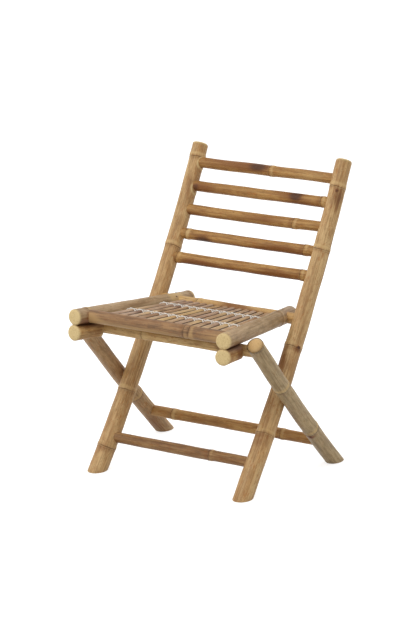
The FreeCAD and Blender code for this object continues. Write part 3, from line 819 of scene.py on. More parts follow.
def bowed_culm(name: str, pole: Pole, x: float, end: End, marks: Marks, over: float = 0.0) -> Culm:
    """A bowed pole that stands on the floor.

    Args:
        name: The piece's name.
        pole: The pole's line from the side.
        x: Its distance from the middle plane.
        end: Finish of its top.
        marks: Its marks.
        over: How far it goes on past the top of its line.

    Returns:
        The pole, ready to be built.
    """
    curve = ArcLength(lambda share: pole.point(x, share))
    return Culm(name, curve.point, curve.length + over,
                lambda station: pole.radius_at(np.asarray(station) / curve.length),
                (End.FLOOR, end), marks, TO_FRONT)


def steady(radius: float) -> Curve:
    """A radius that stays the same all along."""
    return lambda station: np.full(np.shape(station), radius)


# Finishes.


def linear(code: str) -> tuple[float, float, float, float]:
    """Turns an sRGB hex code to a linear colour.

    Args:
        code: The colour as # and six hex digits.

    Returns:
        Red, green, blue and an alpha of 1.
    """
    parts = [int(code[i:i + 2], 16) / 255.0 for i in (1, 3, 5)]
    red, green, blue = (c / 12.92 if c <= 0.04045 else ((c + 0.055) / 1.055) ** 2.4 for c in parts)
    return red, green, blue, 1.0


def add_node(tree: bpy.types.NodeTree, kind: str, settings: dict | None = None,
             **inputs: object) -> bpy.types.Node:
    """Adds a shader node with its settings, and sets or links its inputs.

    Args:
        tree: The material's node tree.
        kind: The node's type, without the ShaderNode prefix.
        settings: Properties of the node.
        inputs: Values or sockets by the input's name, with _ for a space, or by in0, in1 and on.

    Returns:
        The new node.
    """
    node = tree.nodes.new("ShaderNode" + kind)
    for key, setting in (settings or {}).items():
        setattr(node, key, setting)
    for key, given in inputs.items():
        socket = node.inputs[int(key[2:])] if key.startswith("in") and key[2:].isdigit() \
            else node.inputs[key.replace("_", " ")]
        if isinstance(given, bpy.types.NodeSocket):
            tree.links.new(given, socket)
        else:
            socket.default_value = given
    return node


def empty_material(name: str) -> tuple[bpy.types.Material, bpy.types.NodeTree]:
    """Makes a material whose node tree is empty.

    Args:
        name: The material's name.

    Returns:
        The material and its tree.
    """
    material = bpy.data.materials.new(name)
    material.use_nodes = True
    material.node_tree.nodes.clear()
    return material, material.node_tree


def waves(size: float) -> float:
    """Whole waves per metre of a pattern whose spots have a size in millimetres."""
    return float(round(1.0 / (size * MM)))


@dataclass(frozen=True)
class Grain:
    """A noise stretched along the pole.

    Attributes:
        width: Width of its spots, in millimetres.
        length: Their length along the pole, in millimetres.
        detail: How many finer noises are added.
        rough: How strong each finer one is.
    """

    width: float
    length: float
    detail: float
    rough: float = 0.55


@dataclass(frozen=True)
class Coat:
    """A colour laid over the skin where a pattern passes from one level to another.

    Attributes:
        pattern: Name of the pattern.
        start: Level at which the colour begins to show.
        full: Level at which it shows most. It may lie below the start.
        share: How much of the skin under it it then hides.
        colour: Its hex code.
    """

    pattern: str
    start: float
    full: float
    share: float
    colour: str


# What mottles bamboo, from the slow drift of its colour to single fibres and mould specks. The
# fibres are drawn coarser than the real ones, of about 0.2 mm, so that they show.
GRAINS = {
    "clouds": Grain(38.5, 125.0, 4.0),
    "drifts": Grain(16.7, 250.0, 5.0, 0.62),
    "blotches": Grain(10.5, 29.4, 4.0, 0.65),
    "bands": Grain(4.17, 111.0, 3.0, 0.6),
    "streaks": Grain(1.25, 71.4, 4.0, 0.6),
    "fibres": Grain(0.4545, 25.0, 2.0),
    "flecks": Grain(5.26, 16.1, 3.0, 0.65),
    "specks": Grain(2.38, 4.76, 2.0),
}
BUNDLE_SPACING = 1.613

# How much each pattern lifts the skin, and the depth of it all in metres.
RELIEF = (("fibres", 0.4), ("streaks", 0.6), ("bands", 0.5))
RELIEF_DEPTH = 0.5 * MM
RELIEF_STRENGTH = 0.4

# Satin lacquer: a usual IOR, a weak reflection, and duller and glossier spots about its roughness.
LACQUER_IOR = 1.45
LACQUER_SHEEN = 0.35
GLOSSIER, DULLER = -0.08, 0.14
LINE_SHARE = 0.8


@dataclass(frozen=True)
class BambooFinish:
    """Lacquered bamboo: a satin skin over long fibres, mottled by sun, mould and flame.

    The skin shows fibre streaks 1 mm and 4 mm wide that run along the pole, blotches one to three
    centimetres long, amber flecks and dark specks, thin dark lines at the nodes, and pale yellow
    pith dotted with fibre bundles where it is cut.

    Attributes:
        name: The material's name.
        ground: Hex code of the skin's middle colour.
        light: Its paler fibres.
        shade: Its darker fibres.
        amber: Flecks.
        streak: Fine dark streaks and specks.
        line: Thin lines at node rings, and painted shade in grooves and along the slats' edges.
        scorch_and_shade: Skin charred nearly black, and the darkest painted shade where parts meet.
        singe_and_shade: Skin browned by the flame, and the milder painted shade where parts meet.
        pale: Skin paled by wear and above a node ring.
        pith: Cut faces.
        bundle: The ends of the fibre bundles in them.
        mottle: How strong the slow drifts of colour are.
        roughness: The lacquer's roughness.
        slot: The record's material slot. It is not used.
    """

    name: str
    ground: str
    light: str
    shade: str
    amber: str = "#a86f3a"
    streak: str = "#7d5a34"
    line: str = "#4a3018"
    scorch_and_shade: str = "#44281a"
    singe_and_shade: str = "#7d4c22"
    pale: str = "#cfae78"
    pith: str = "#dcc28c"
    bundle: str = "#b3905a"
    mottle: float = 0.6
    roughness: float = 0.5
    slot: str = "bamboo_pole"

    @property
    def skin_coats(self) -> tuple[Coat, ...]:
        """The colours of the skin.

        Returns:
            The coats, from the lowest up.
        """
        return (
            Coat("clouds", 0.4, 0.62, 1.0, self.light),
            Coat("drifts", 0.48, 0.64, self.mottle, self.shade),
            Coat("blotches", 0.5, 0.64, 0.6, self.shade),
            Coat("blotches", 0.5, 0.36, 0.5, self.light),
            Coat("bands", 0.48, 0.66, 0.6, self.shade),
            Coat("bands", 0.5, 0.34, 0.45, self.light),
            Coat("flecks", 0.54, 0.66, 0.65, self.amber),
            Coat("streaks", 0.5, 0.72, 0.6, self.streak),
            Coat("fibres", 0.45, 0.8, 0.2, self.light),
            Coat("specks", 0.64, 0.72, 0.7, self.streak),
            Coat("toned", 0.37, 1.2, 0.85, self.singe_and_shade),
            Coat("toned", 0.13, -0.55, 0.75, self.pale),
            Coat("singed_and_shaded", 0.48, 0.95, 0.75, self.singe_and_shade),
            Coat("burnt_and_shaded", 0.62, 1.25, 0.82, self.scorch_and_shade),
        )

    @property
    def pith_coats(self) -> tuple[Coat, ...]:
        """The colours of a cut face, over its ground."""
        return (Coat("cells", 0.42, 0.18, 0.5, self.bundle),
                Coat("flecks", 0.5, 0.72, 0.55, self.bundle))

    def patterns(self, tree: bpy.types.NodeTree, tone: bpy.types.NodeSocket,
                 burn_and_shade: bpy.types.NodeSocket) -> dict[str, bpy.types.NodeSocket]:
        """Adds the noises, and their sums with the masks.

        Args:
            tree: The material's node tree.
            tone: The mask of darker and paler skin.
            burn_and_shade: The mask of charred patches and of painted shade.

        Returns:
            The patterns by name.
        """
        place = add_node(tree, "Attribute", {"attribute_name": "pole"}).outputs["Vector"]
        found = {}
        for name, grain in GRAINS.items():
            across, along = waves(grain.width), waves(grain.length)
            stretched = add_node(tree, "Mapping", Vector=place, Scale=(across, across, along))
            noise = add_node(tree, "TexNoise", Vector=stretched.outputs[0], Scale=1.0,
                             Detail=grain.detail, Roughness=grain.rough)
            found[name] = noise.outputs["Fac"]
        cells = add_node(tree, "TexVoronoi", Vector=place, Scale=waves(BUNDLE_SPACING))
        found["cells"] = cells.outputs["Distance"]
        for name, base, share, mask in (("toned", "bands", 0.5, tone), ("singed_and_shaded", "bands", 0.8, burn_and_shade),
                                        ("burnt_and_shaded", "streaks", 0.9, burn_and_shade)):
            total = add_node(tree, "Math", {"operation": "MULTIPLY_ADD"}, in0=found[base],
                             in1=share, in2=mask)
            found[name] = total.outputs[0]
        return found

    def lay_coats(self, tree: bpy.types.NodeTree, found: dict[str, bpy.types.NodeSocket],
                  ground: str, coats: Iterable[Coat]) -> bpy.types.NodeSocket:
        """Lays coats of colour over a ground, each by a smooth step between its levels.

        Args:
            tree: The material's node tree.
            found: The patterns by name.
            ground: Hex code of the ground.
            coats: The coats, from the lowest up.

        Returns:
            The colour over all.
        """
        colour = linear(ground)
        for coat in coats:
            share = add_node(tree, "MapRange", {"interpolation_type": "SMOOTHSTEP"},
                             Value=found[coat.pattern], From_Min=coat.start, From_Max=coat.full,
                             To_Min=0.0, To_Max=coat.share)
            colour = add_node(tree, "Mix", {"data_type": "RGBA"}, in0=share.outputs[0], in6=colour,
                              in7=linear(coat.colour)).outputs[2]
        return colour

    def material(self) -> bpy.types.Material:
        """Builds the material, or finds the one of its name.

        Returns:
            The material.
        """
        if self.name in bpy.data.materials:
            return bpy.data.materials[self.name]
        material, tree = empty_material(self.name)
        marks = add_node(tree, "Attribute", {"attribute_name": "marks"}).outputs["Vector"]
        tone = add_node(tree, "Attribute", {"attribute_name": "tone"}).outputs["Fac"]
        line, burn_and_shade, cut = add_node(tree, "SeparateXYZ", Vector=marks).outputs
        found = self.patterns(tree, tone, burn_and_shade)
        skin = self.lay_coats(tree, found, self.ground, self.skin_coats)
        pith = self.lay_coats(tree, found, self.pith, self.pith_coats)
        thin = add_node(tree, "Math", {"operation": "MULTIPLY"}, in0=line, in1=LINE_SHARE)
        lined = add_node(tree, "Mix", {"data_type": "RGBA"}, in0=thin.outputs[0], in6=skin,
                         in7=linear(self.line))
        colour = add_node(tree, "Mix", {"data_type": "RGBA"}, in0=cut, in6=lined.outputs[2],
                          in7=pith)
        relief = 0.0
        for name, share in RELIEF:
            relief = add_node(tree, "Math", {"operation": "MULTIPLY_ADD"}, in0=found[name],
                              in1=share, in2=relief).outputs[0]
        bump = add_node(tree, "Bump", Height=relief, Strength=RELIEF_STRENGTH,
                        Distance=RELIEF_DEPTH)
        gloss = add_node(tree, "MapRange", Value=found["clouds"], From_Min=0.3, From_Max=0.7,
                         To_Min=self.roughness + GLOSSIER, To_Max=self.roughness + DULLER)
        shader = add_node(tree, "BsdfPrincipled", Base_Color=colour.outputs[2],
                          Roughness=gloss.outputs[0], Normal=bump.outputs[0])
        shader.inputs["IOR"].default_value = LACQUER_IOR
        shader.inputs["Specular IOR Level"].default_value = LACQUER_SHEEN
        add_node(tree, "OutputMaterial", Surface=shader.outputs[0])
        return material


@dataclass(frozen=True)
class PlainFinish:
    """A plain material with a fine grain: cotton cord, hardwood or darkened steel.

    The grain is a noise on the piece's own coordinates that shades the colour and lifts the skin.

    Attributes:
        name: The material's name.
        colour: Hex code of its high spots.
        dark: Hex code of its low spots.
        grain: Size of its spots, in millimetres.
        roughness: Its roughness.
        metallic: How much of a metal it is.
        slot: The record's material slot. It is not used.
    """

    name: str
    colour: str
    dark: str
    grain: float
    roughness: float
    metallic: float = 0.0
    slot: str = "steel_nail"

    def material(self) -> bpy.types.Material:
        """Builds the material, or finds the one of its name.

        Returns:
            The material.
        """
        if self.name in bpy.data.materials:
            return bpy.data.materials[self.name]
        material, tree = empty_material(self.name)
        place = add_node(tree, "TexCoord").outputs["Object"]
        grain = add_node(tree, "TexNoise", Vector=place, Scale=waves(self.grain), Detail=4.0)
        shade = add_node(tree, "MapRange", Value=grain.outputs["Fac"], From_Min=0.35, From_Max=0.65)
        colour = add_node(tree, "Mix", {"data_type": "RGBA"}, in0=shade.outputs[0],
                          in6=linear(self.dark), in7=linear(self.colour))
        bump = add_node(tree, "Bump", Height=grain.outputs["Fac"], Strength=0.3, Distance=0.2 * MM)
        shader = add_node(tree, "BsdfPrincipled", Base_Color=colour.outputs[2],
                          Normal=bump.outputs[0])
        shader.inputs["Roughness"].default_value = self.roughness
        shader.inputs["Metallic"].default_value = self.metallic
        add_node(tree, "OutputMaterial", Surface=shader.outputs[0])
        return material


# Lacquered yellow bamboo, sanded and satin, as the posts show it.
TAN = BambooFinish("tan_bamboo", "#bd935f", "#d2b07d", "#9a7449")
# The legs: bamboo greyed by weather on the right, and on the left a darker copy of the posts' tan,
# which is painted shade for the leg that lies under the seat.
GREY = BambooFinish("grey_bamboo", "#a8906a", "#c0a880", "#87714f", amber="#a5835a",
                    pith="#d2ac74", bundle="#ad8552")
SHADED_TAN = BambooFinish("dull_bamboo", "#b18c61", "#c4a277", "#8b6c46")
# Thin smoked culms, browned by the flame that straightened them.
WARM = BambooFinish("warm_bamboo", "#ab7e46", "#bd9257", "#86592a", amber="#a4692f", mottle=0.7,
                    slot="bamboo_brown")
DUSK = BambooFinish("dusky_bamboo", "#926c44", "#a68053", "#6c4929", amber="#8f5c2c",
                    streak="#62452a", slot="bamboo_brown")
# Fresh yellow culms: the crossbar and the seat's axle.
BAR = BambooFinish("yellow_bamboo", "#c59b60", "#d9b57c", "#9f7948", slot="bamboo_brown")
# The seat's poles: greyed side rails, fresher stop blocks and a browner front rail.
RAIL = BambooFinish("seat_bamboo", "#a98b66", "#bea27e", "#866e4c", amber="#a27e55",
                    slot="bamboo_grey")
BLOCK = BambooFinish("block_bamboo", "#b58952", "#c8a068", "#8a653b", slot="bamboo_grey")
FRONT = BambooFinish("front_bamboo", "#906b48", "#a57f57", "#6b523d", amber="#90643f",
                     streak="#5f4536", pale="#bf9a68", mottle=0.75, slot="bamboo_grey")
# Split and planed bamboo: three tones that the slats take in turn, by chance.
# The near-black line colour of the slats' tones is painted shade along their long edges, in the gaps
# between slats.
SLATS = (
    BambooFinish("tan_split_bamboo", "#b7946c", "#cbac85", "#957353", line="#24160b",
                 slot="split_bamboo"),
    BambooFinish("rose_split_bamboo", "#b19177", "#c8aa8d", "#917259", line="#24160b",
                 slot="split_bamboo"),
    BambooFinish("gold_split_bamboo", "#b48c56", "#caa46c", "#94693c", line="#24160b",
                 slot="split_bamboo"),
)
# Bleached cotton twine is dull and slightly hairy.
CORD = PlainFinish("cotton_cord", "#f2eee9", "#d6cdc4", 0.3846, 0.85, slot="cotton_cord")
# Nails and screws that have darkened in the lacquer keep a weak metal sheen.
STEEL = PlainFinish("darkened_steel", "#5f4634", "#352419", 1.111, 0.6, 0.5)
# Turned hardwood, unlacquered.
DOWEL = PlainFinish("hardwood_dowel", "#a67c4a", "#86602f", 2.0, 0.6, slot="hardwood_dowel")


def finish_piece(piece: bpy.types.Object, finish: BambooFinish | PlainFinish, body: str,
                 *nodes: str) -> bpy.types.Object:
    """Dresses a piece, puts it on its body and hides the nodes that it stands for.

    Args:
        piece: The new piece.
        finish: Its finish.
        body: The body that it moves with.
        nodes: The nodes that it replaces.

    Returns:
        The same piece.
    """
    piece.data.materials.clear()
    piece.data.materials.append(finish.material())
    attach(piece, body)
    if nodes:
        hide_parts(*nodes)
    log.info("%s: %d faces on %s", piece.name, len(piece.data.polygons), body)
    return piece


def dress_node(name: str, finish: PlainFinish) -> None:
    """Gives a node that stays as it is a better material."""
    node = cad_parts[name]
    node.data.materials.clear()
    node.data.materials.append(finish.material())
    log.info("%s: kept from the frame", name)


# Sub-assemblies.


@dataclass
class Bar:
    """A round cross bar along X between two poles, with a tenon at each end.

    Its axis is straight, or a parabola that hangs by sag under the line between its ends.
    """

    name: str
    y: float
    z: float
    radius: float
    marks: Marks
    finish: BambooFinish
    sag: float = 0.0
    groove: Groove | None = None

    def axis(self, station: Array) -> Array:
        """Reads the axis, whose ends lie at the ends of the node's box.

        Args:
            station: Lengths from the left end.

        Returns:
            The points as rows of three coordinates.
        """
        low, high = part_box(self.name)
        share = np.asarray(station, float) / (high.x - low.x)
        height = self.z - 4 * self.sag * share * (1 - share)
        return np.stack([low.x + station, np.full_like(height, self.y), height], axis=1)

    def make(self, body: str) -> bpy.types.Object:
        """Builds the bar between the ends of its node's box, and dresses it.

        Args:
            body: The body that it moves with.

        Returns:
            The dressed bar.
        """
        low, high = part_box(self.name)
        culm = Culm(self.name + "_pole", self.axis, high.x - low.x, steady(self.radius),
                    (End.TENON, End.TENON), self.marks, TO_FRONT, groove=self.groove)
        return finish_piece(culm.build(), self.finish, body, self.name)


# Bearings on a cross bar: its front, and the slopes above and below it.
FACE, UPPER, LOWER = 0.0, -0.8, 0.7


@dataclass
class BackFrame:
    """The two posts, the five rungs of the back and the front stretcher."""

    body: str = "back_frame"
    post_marks: dict[str, Marks] = field(default_factory=lambda: {
        "left": Marks((0.069, 0.242, 0.462, 0.685, 0.957),
                      tones=(Patch(0.86, 0.9, 0.05, 0.5), Patch(0.30, 0.9, 0.05, 0.5),
                             Patch(0.33, -0.2, 0.07, -0.6), Patch(0.08, 0.3, 0.03, 0.3)),
                      collars=tuple(Patch(place, math.pi / 2, 16 * MM, strength)
                                    for place, strength in ((0.94, 1.3), (0.864, 1.3), (0.79, 0.5),
                                                            (0.717, 0.6), (0.642, 0.5),
                                                            (0.097, 0.4))),
                      seed=21),
        "right": Marks((0.187, 0.446, 0.734, 0.917),
                       scorches_and_shade=(Patch(0.885, 0.85, 0.035, 0.45),),
                       tones=(Patch(0.39, -0.5, 0.04, 0.8), Patch(0.27, -0.2, 0.05, 0.6),
                              Patch(0.16, -0.1, 0.02, 0.6)),
                       scars=(Patch(0.447, 1.12, 7.5 * MM), Patch(0.905, 0.5, 4.5 * MM)),
                       seed=22)})
    rung_marks: tuple[Marks, ...] = (
        Marks((0.534,), scorches_and_shade=(Patch(0.455, UPPER, 0.028, 0.95),),
              tones=(Patch(0.20, UPPER, 0.09, 0.7), Patch(0.40, UPPER, 0.05, 0.8),
                     Patch(0.80, FACE, 0.07, -0.45)), seed=11),
        Marks((0.914,), scorches_and_shade=(Patch(0.745, UPPER, 0.020, 1.0), Patch(0.075, 0.1, 0.012, 0.6)),
              tones=(Patch(0.12, FACE, 0.04, 0.9), Patch(0.80, LOWER, 0.05, 0.7),
                     Patch(0.70, UPPER, 0.05, 0.8)), seed=12),
        Marks((0.768,), scorches_and_shade=(Patch(0.07, LOWER, 0.010, 0.4),),
              tones=(Patch(0.58, -0.3, 0.07, 0.75), Patch(0.88, FACE, 0.03, -0.3),
                     Patch(0.10, LOWER, 0.05, 0.9)), seed=13),
        # Rungs 4 and 5 are darker on their lower sides along much of their length: partly the culms'
        # own colour and partly painted shade.
        Marks((0.09, 0.885), scorches_and_shade=(Patch(0.215, LOWER, 0.028, 0.8),),
              tones=(Patch(0.74, LOWER, 0.07, 1.2), Patch(0.35, 1.2, 0.2, 0.6),
                     Patch(0.07, FACE, 0.02, -0.5)), seed=14),
        Marks((0.07, 0.91), scorches_and_shade=(Patch(0.22, LOWER, 0.05, 0.35),),
              tones=(Patch(0.22, LOWER, 0.08, 1.0), Patch(0.76, LOWER, 0.06, 1.1),
                     Patch(0.5, 1.2, 0.12, 0.8)), seed=15),
    )
    rung_sags: tuple[float, ...] = (0.0, 0.4 * MM, 1.4 * MM, 1.2 * MM, 1.0 * MM)
    stretcher_marks: Marks = Marks(
        (0.696,), tones=(Patch(0.12, LOWER, 0.06, 0.4), Patch(0.8, FACE, 0.06, 0.5)), seed=16)

    def build(self) -> None:
        """Makes and dresses every piece of the back frame."""
        post = SIZES.post
        for side, way in SIDES:
            culm = bowed_culm(f"{side}_back_pole", post, way * SIZES.post_spacing / 2, End.SAWN,
                              self.post_marks[side])
            finish_piece(culm.build(), TAN, self.body, f"{side}_post")
            dress_node(f"{side}_pivot_dowel", DOWEL)
        for number, (marks, sag) in enumerate(zip(self.rung_marks, self.rung_sags)):
            height = SIZES.top_rung_height - number * SIZES.rung_pitch
            Bar(f"back_rung_{number + 1}", post.y_at(height), height, SIZES.rung_radius, marks,
                WARM, sag).make(self.body)
        height = SIZES.front_stretcher_height
        Bar("front_stretcher", post.y_at(height), height, SIZES.front_stretcher_radius,
            self.stretcher_marks, DUSK).make(self.body)
        for name in ("rung_nails", "front_stretcher_nails"):
            dress_node(name, STEEL)


@dataclass
class LegFrame:
    """The two short poles, the crossbar that the seat rests on and the rear stretcher."""

    body: str = "leg_frame"
    dome: float = 0.018
    leg_marks: dict[str, Marks] = field(default_factory=lambda: {
        "left": Marks((0.335, 0.93), tones=(Patch(0.55, 0.9, 0.05, 0.5), Patch(0.11, 0.4, 0.09, 0.7)),
                      seed=31),
        "right": Marks((0.303, 0.66), tones=(Patch(0.45, -0.7, 0.06, 0.5),),
                       scars=(Patch(0.292, 0.25, 8 * MM),), seed=32)})
    leg_finishes: dict[str, BambooFinish] = field(
        default_factory=lambda: {"left": SHADED_TAN, "right": GREY})
    crossbar_marks: Marks = Marks((0.361, 0.782), seed=33)
    stretcher_marks: Marks = Marks((0.165, 0.779), tones=(Patch(0.85, LOWER, 0.05, 0.5),),
                                   seed=34)

    def build(self) -> None:
        """Makes and dresses every piece of the leg frame."""
        leg = SIZES.leg
        for side, way in SIDES:
            culm = bowed_culm(f"{side}_leg_pole", leg, way * SIZES.leg_spacing / 2, End.DOMED,
                              self.leg_marks[side], self.dome)
            finish_piece(culm.build(), self.leg_finishes[side], self.body, f"{side}_leg")
        _, y, height = SIZES.crossbar
        Bar("leg_crossbar", y, height, SIZES.crossbar_radius, self.crossbar_marks,
            BAR).make(self.body)
        height = SIZES.rear_stretcher_height
        Bar("rear_stretcher", leg.y_at(height), height, SIZES.rear_stretcher_radius,
            self.stretcher_marks, WARM).make(self.body)
        for name in ("crossbar_nails", "rear_stretcher_nails"):
            dress_node(name, STEEL)


@dataclass
class Seat:
    """The side rails, the cross rail, the axle, the stop blocks, the slats and their lashings.

    Attributes:
        slat_gap: Open width between two slats.
        slat_edge: A slat's thickness at its edges, before they are rounded.
        slat_crown: How much thicker it is in its middle.
        slat_round: How far its upper edges are rounded down.
        slat_bevel: How far its lower edges are bevelled up.
        slat_wave: Height of its long waves.
        slat_waver: How much its width varies, as a share.
        slat_fade: Length at both ends over which the waves fade.
        slat_rows: Rows of points along it.
        slat_waves: Shortest and longest wave of its height.
        slat_wavers: Shortest and longest wave of its width.
        slat_burns: How many charred patches it has.
        burn_reaches: Shortest and longest reach of a charred patch.
        burn_strengths: Weakest and strongest charred patch.
        slat_tones: Palest and darkest tone.
        tone_drift: How much the tone changes along it.
        tone_lengths: Shortest and longest wave of that change, over a whole turn.
        slat_underside: Height of its underside over the rails' axes.
        groove: Depth of the grooves that hold the slats' ends.
        fit: Room above and below the slats in them.
        lashing_reaches: How far in front of the axle each lashing lies.
        cord_lay: Length of half a turn of the cord's two plies.
        twine_spread: How far the strands swing along the slats, to each side.
        twine_lift: How much higher the second pair of strands lies.
        twine_tightness: How sharply a strand turns down between two slats.
        twine_steps: Points along a strand for each slat.
        stop_lip: How far a block reaches behind the crossbar's axis.
        mouth_slant: Slope of its mouth, by which the crossbar leaves.
        mouth_brow: How far in front of the axis the mouth's upper part ends.
        SLAT_SHIFT: How far the bamboo's pattern is moved along from slat to slat, in metres.
        CORD_AROUND: Points around a cord.
        CORD_VALLEY: The cord's radius between its two plies, as a share.
        CORD_RIDGE: Its radius over a ply, as a share.
    """

    SLAT_SHIFT: ClassVar[float] = 3.1
    CORD_AROUND: ClassVar[int] = 10
    CORD_VALLEY: ClassVar[float] = 0.82
    CORD_RIDGE: ClassVar[float] = 1.08

    body: str = "seat"
    slats: int = 13
    slat_front_width: float = 23.6 * MM
    slat_rear_width: float = 17.2 * MM
    slat_gap: float = 3.6 * MM
    slat_edge: float = 2.6 * MM
    slat_crown: float = 2.9 * MM
    slat_round: float = 1.3 * MM
    slat_bevel: float = 0.35 * MM
    slat_wave: float = 0.14 * MM
    slat_waver: float = 0.012
    slat_fade: float = 20 * MM
    slat_rows: int = 120
    slat_waves: tuple[float, float] = (0.12, 0.3)
    slat_wavers: tuple[float, float] = (0.05, 0.11)
    slat_burns: int = 2
    burn_reaches: tuple[float, float] = (0.01, 0.03)
    burn_strengths: tuple[float, float] = (0.0, 0.5)
    slat_tones: tuple[float, float] = (-0.5, 0.3)
    tone_drift: float = 0.22
    tone_lengths: tuple[float, float] = (0.1, 0.3)
    slat_underside: float = 2.0 * MM
    groove: float = 8.0 * MM
    fit: float = 0.1 * MM
    lashing_reaches: tuple[tuple[str, float], ...] = (
        ("front_lashing", 217 * MM), ("rear_lashing", 90 * MM))
    cord_radius: float = 0.95 * MM
    cord_lay: float = 4.5 * MM
    twine_spread: float = 7.0 * MM
    twine_lift: float = 1.0 * MM
    twine_tightness: float = 2.6
    twine_steps: int = 18
    stop_lip: float = 1.0 * MM
    mouth_slant: float = math.radians(50.0)
    mouth_brow: float = 3.7 * MM
    # The dark patch under each rail's front end, over its stop block, is painted shade where rail and
    # block meet.
    rail_marks: dict[str, Marks] = field(default_factory=lambda: {
        "left": Marks((0.094, 0.97), scorches_and_shade=(Patch(0.1, math.pi, 0.07, 0.9),),
                      tones=(Patch(0.84, 0.7, 0.022, -1.7), Patch(0.5, 0.6, 0.1, 0.3),
                             Patch(0.1, 2.4, 0.06, 0.9)),
                      scars=(Patch(0.838, 0.85, 3.6 * MM, 1.4),), seed=41),
        "right": Marks((0.779,), scorches_and_shade=(Patch(0.1, math.pi, 0.07, 0.9),),
                       tones=(Patch(0.04, 0.0, 0.012, -0.5), Patch(0.1, -2.4, 0.06, 0.7),
                              Patch(0.9, 0.6, 0.05, 0.35)),
                       dimples=(Patch(0.8716, 0.0, 3.5 * MM),), seed=42)})
    front_marks: Marks = Marks(
        (0.686, 0.722), tones=(Patch(0.42, UPPER, 0.14, 0.4), Patch(0.92, FACE, 0.035, -0.6),
                               Patch(0.08, FACE, 0.035, -0.8), Patch(0.4, 1.2, 0.2, -0.9)), seed=43)
    axle_marks: Marks = Marks(
        (0.3,), scorches_and_shade=(Patch(0.5, 0.5, 0.12, 0.35),),
        tones=(Patch(0.55, UPPER, 0.05, 0.8), Patch(0.7, FACE, 0.1, 0.6)), seed=44)

    @property
    def slat_front(self) -> float:
        """Reach of the slats' front ends, inside the front rail's groove."""
        return (SIZES.rail_front_reach - SIZES.front_rail_setback - SIZES.front_rail_radius
                + self.groove)

    @property
    def slat_rear(self) -> float:
        """Reach of the slats' rear ends, inside the axle's groove."""
        return SIZES.axle_radius - self.groove

    def slat_lines(self, reach: Array | float) -> tuple[Array, Array]:
        """Pitch and width of the slats, which fan out from rear to front.

        Args:
            reach: How far in front of the axle.

        Returns:
            The distance between two slats' middles, and a slat's width.
        """
        share = (np.asarray(reach, float) - self.slat_rear) / (self.slat_front - self.slat_rear)
        width = self.slat_rear_width + (self.slat_front_width - self.slat_rear_width) * share
        return width + self.slat_gap, width

    def build(self) -> None:
        """Makes and dresses every piece of the seat."""
        self.build_rails()
        self.build_blocks()
        self.build_cross_pieces()
        for number in range(self.slats):
            self.build_slat(number)
        for name, reach in self.lashing_reaches:
            self.build_lashing(name, reach)
        for name in ("axle_nails", "front_rail_nails", "block_screws"):
            dress_node(name, STEEL)

    def build_rails(self) -> None:
        """Makes the two side rails, from their front ends to their rear ends."""
        reach, over = SIZES.rail_front_reach, SIZES.rail_rear_overhang
        for side, way in SIDES:
            ends = SIZES.seat_points([[way * SIZES.rail_x(reach), -reach, 0.0],
                                      [way * SIZES.rail_x(-over), over, 0.0]])
            axis, length = straight(*ends)
            culm = Culm(f"{side}_side_rail", axis, length, steady(SIZES.rail_radius),
                        (End.SAWN, End.SAWN), self.rail_marks[side], UPWARDS)
            finish_piece(culm.build(), RAIL, self.body, f"{side}_seat_rail")

    def build_blocks(self) -> None:
        """Makes the two stop blocks under the rails' front ends, coped over the crossbar."""
        under = SIZES.rail_radius + SIZES.block_radius - SIZES.stop_scoop
        front, rear = SIZES.rail_front_reach, SIZES.crossbar_reach - self.stop_lip
        stretch = math.hypot(1.0, SIZES.flare)
        for number, (side, way) in enumerate(SIDES):
            ends = SIZES.seat_points([[way * SIZES.rail_x(front), -front, -under],
                                      [way * SIZES.rail_x(rear), -rear, -under]])
            axis, length = straight(*ends)

            def stop(up: Array, across: Array, way: float = way) -> Array:
                """Station where the block ends against the crossbar, for offsets from its axis."""
                gone = front - SIZES.crossbar_reach + self.mouth(up + under - SIZES.crossbar_drop)
                return gone * stretch - across * way * SIZES.flare

            # The two dark patches on each block's top, along its length and at its coped end, are
            # painted shade where it meets the rail above.
            marks = Marks(scorches_and_shade=(Patch(0.5, 0.0, 0.06, 0.8), Patch(1.0, 0.0, 0.004, 0.9)),
                          tones=(Patch(0.7, 0.9 * way, 0.03, 0.9), Patch(0.75, 2.0, 0.03, 0.6),
                                 Patch(0.16, 1.5 * way, 0.012, 0.6)), seed=45 + number)
            culm = Culm(f"{side}_stop_stub", axis, length, steady(SIZES.block_radius),
                        (End.SAWN, End.COPED), marks, UPWARDS, stop)
            finish_piece(culm.build(), BLOCK, self.body, f"{side}_stop_block")

    def mouth(self, height: Array) -> Array:
        """Shape of a block's mouth over the crossbar, from the side.

        Above the bar's axis the mouth is the bar's circle and then a plumb brow. Below, the circle
        runs out into a slope down and back, the way that the bar leaves, up to a short lip.

        Args:
            height: Height over the crossbar's axis.

        Returns:
            How far behind that axis the block reaches.
        """
        gape = SIZES.crossbar_radius + SIZES.clearance
        round_part = -np.sqrt(np.maximum(gape ** 2 - height ** 2, 0.0))
        turn = -gape * math.cos(self.mouth_slant)
        slope = -gape * math.sin(self.mouth_slant) + (turn - height) / math.tan(self.mouth_slant)
        above = np.minimum(round_part, -self.mouth_brow)
        behind = np.where(height > 0, above, np.where(height > turn, round_part, slope))
        return np.minimum(behind, self.stop_lip)

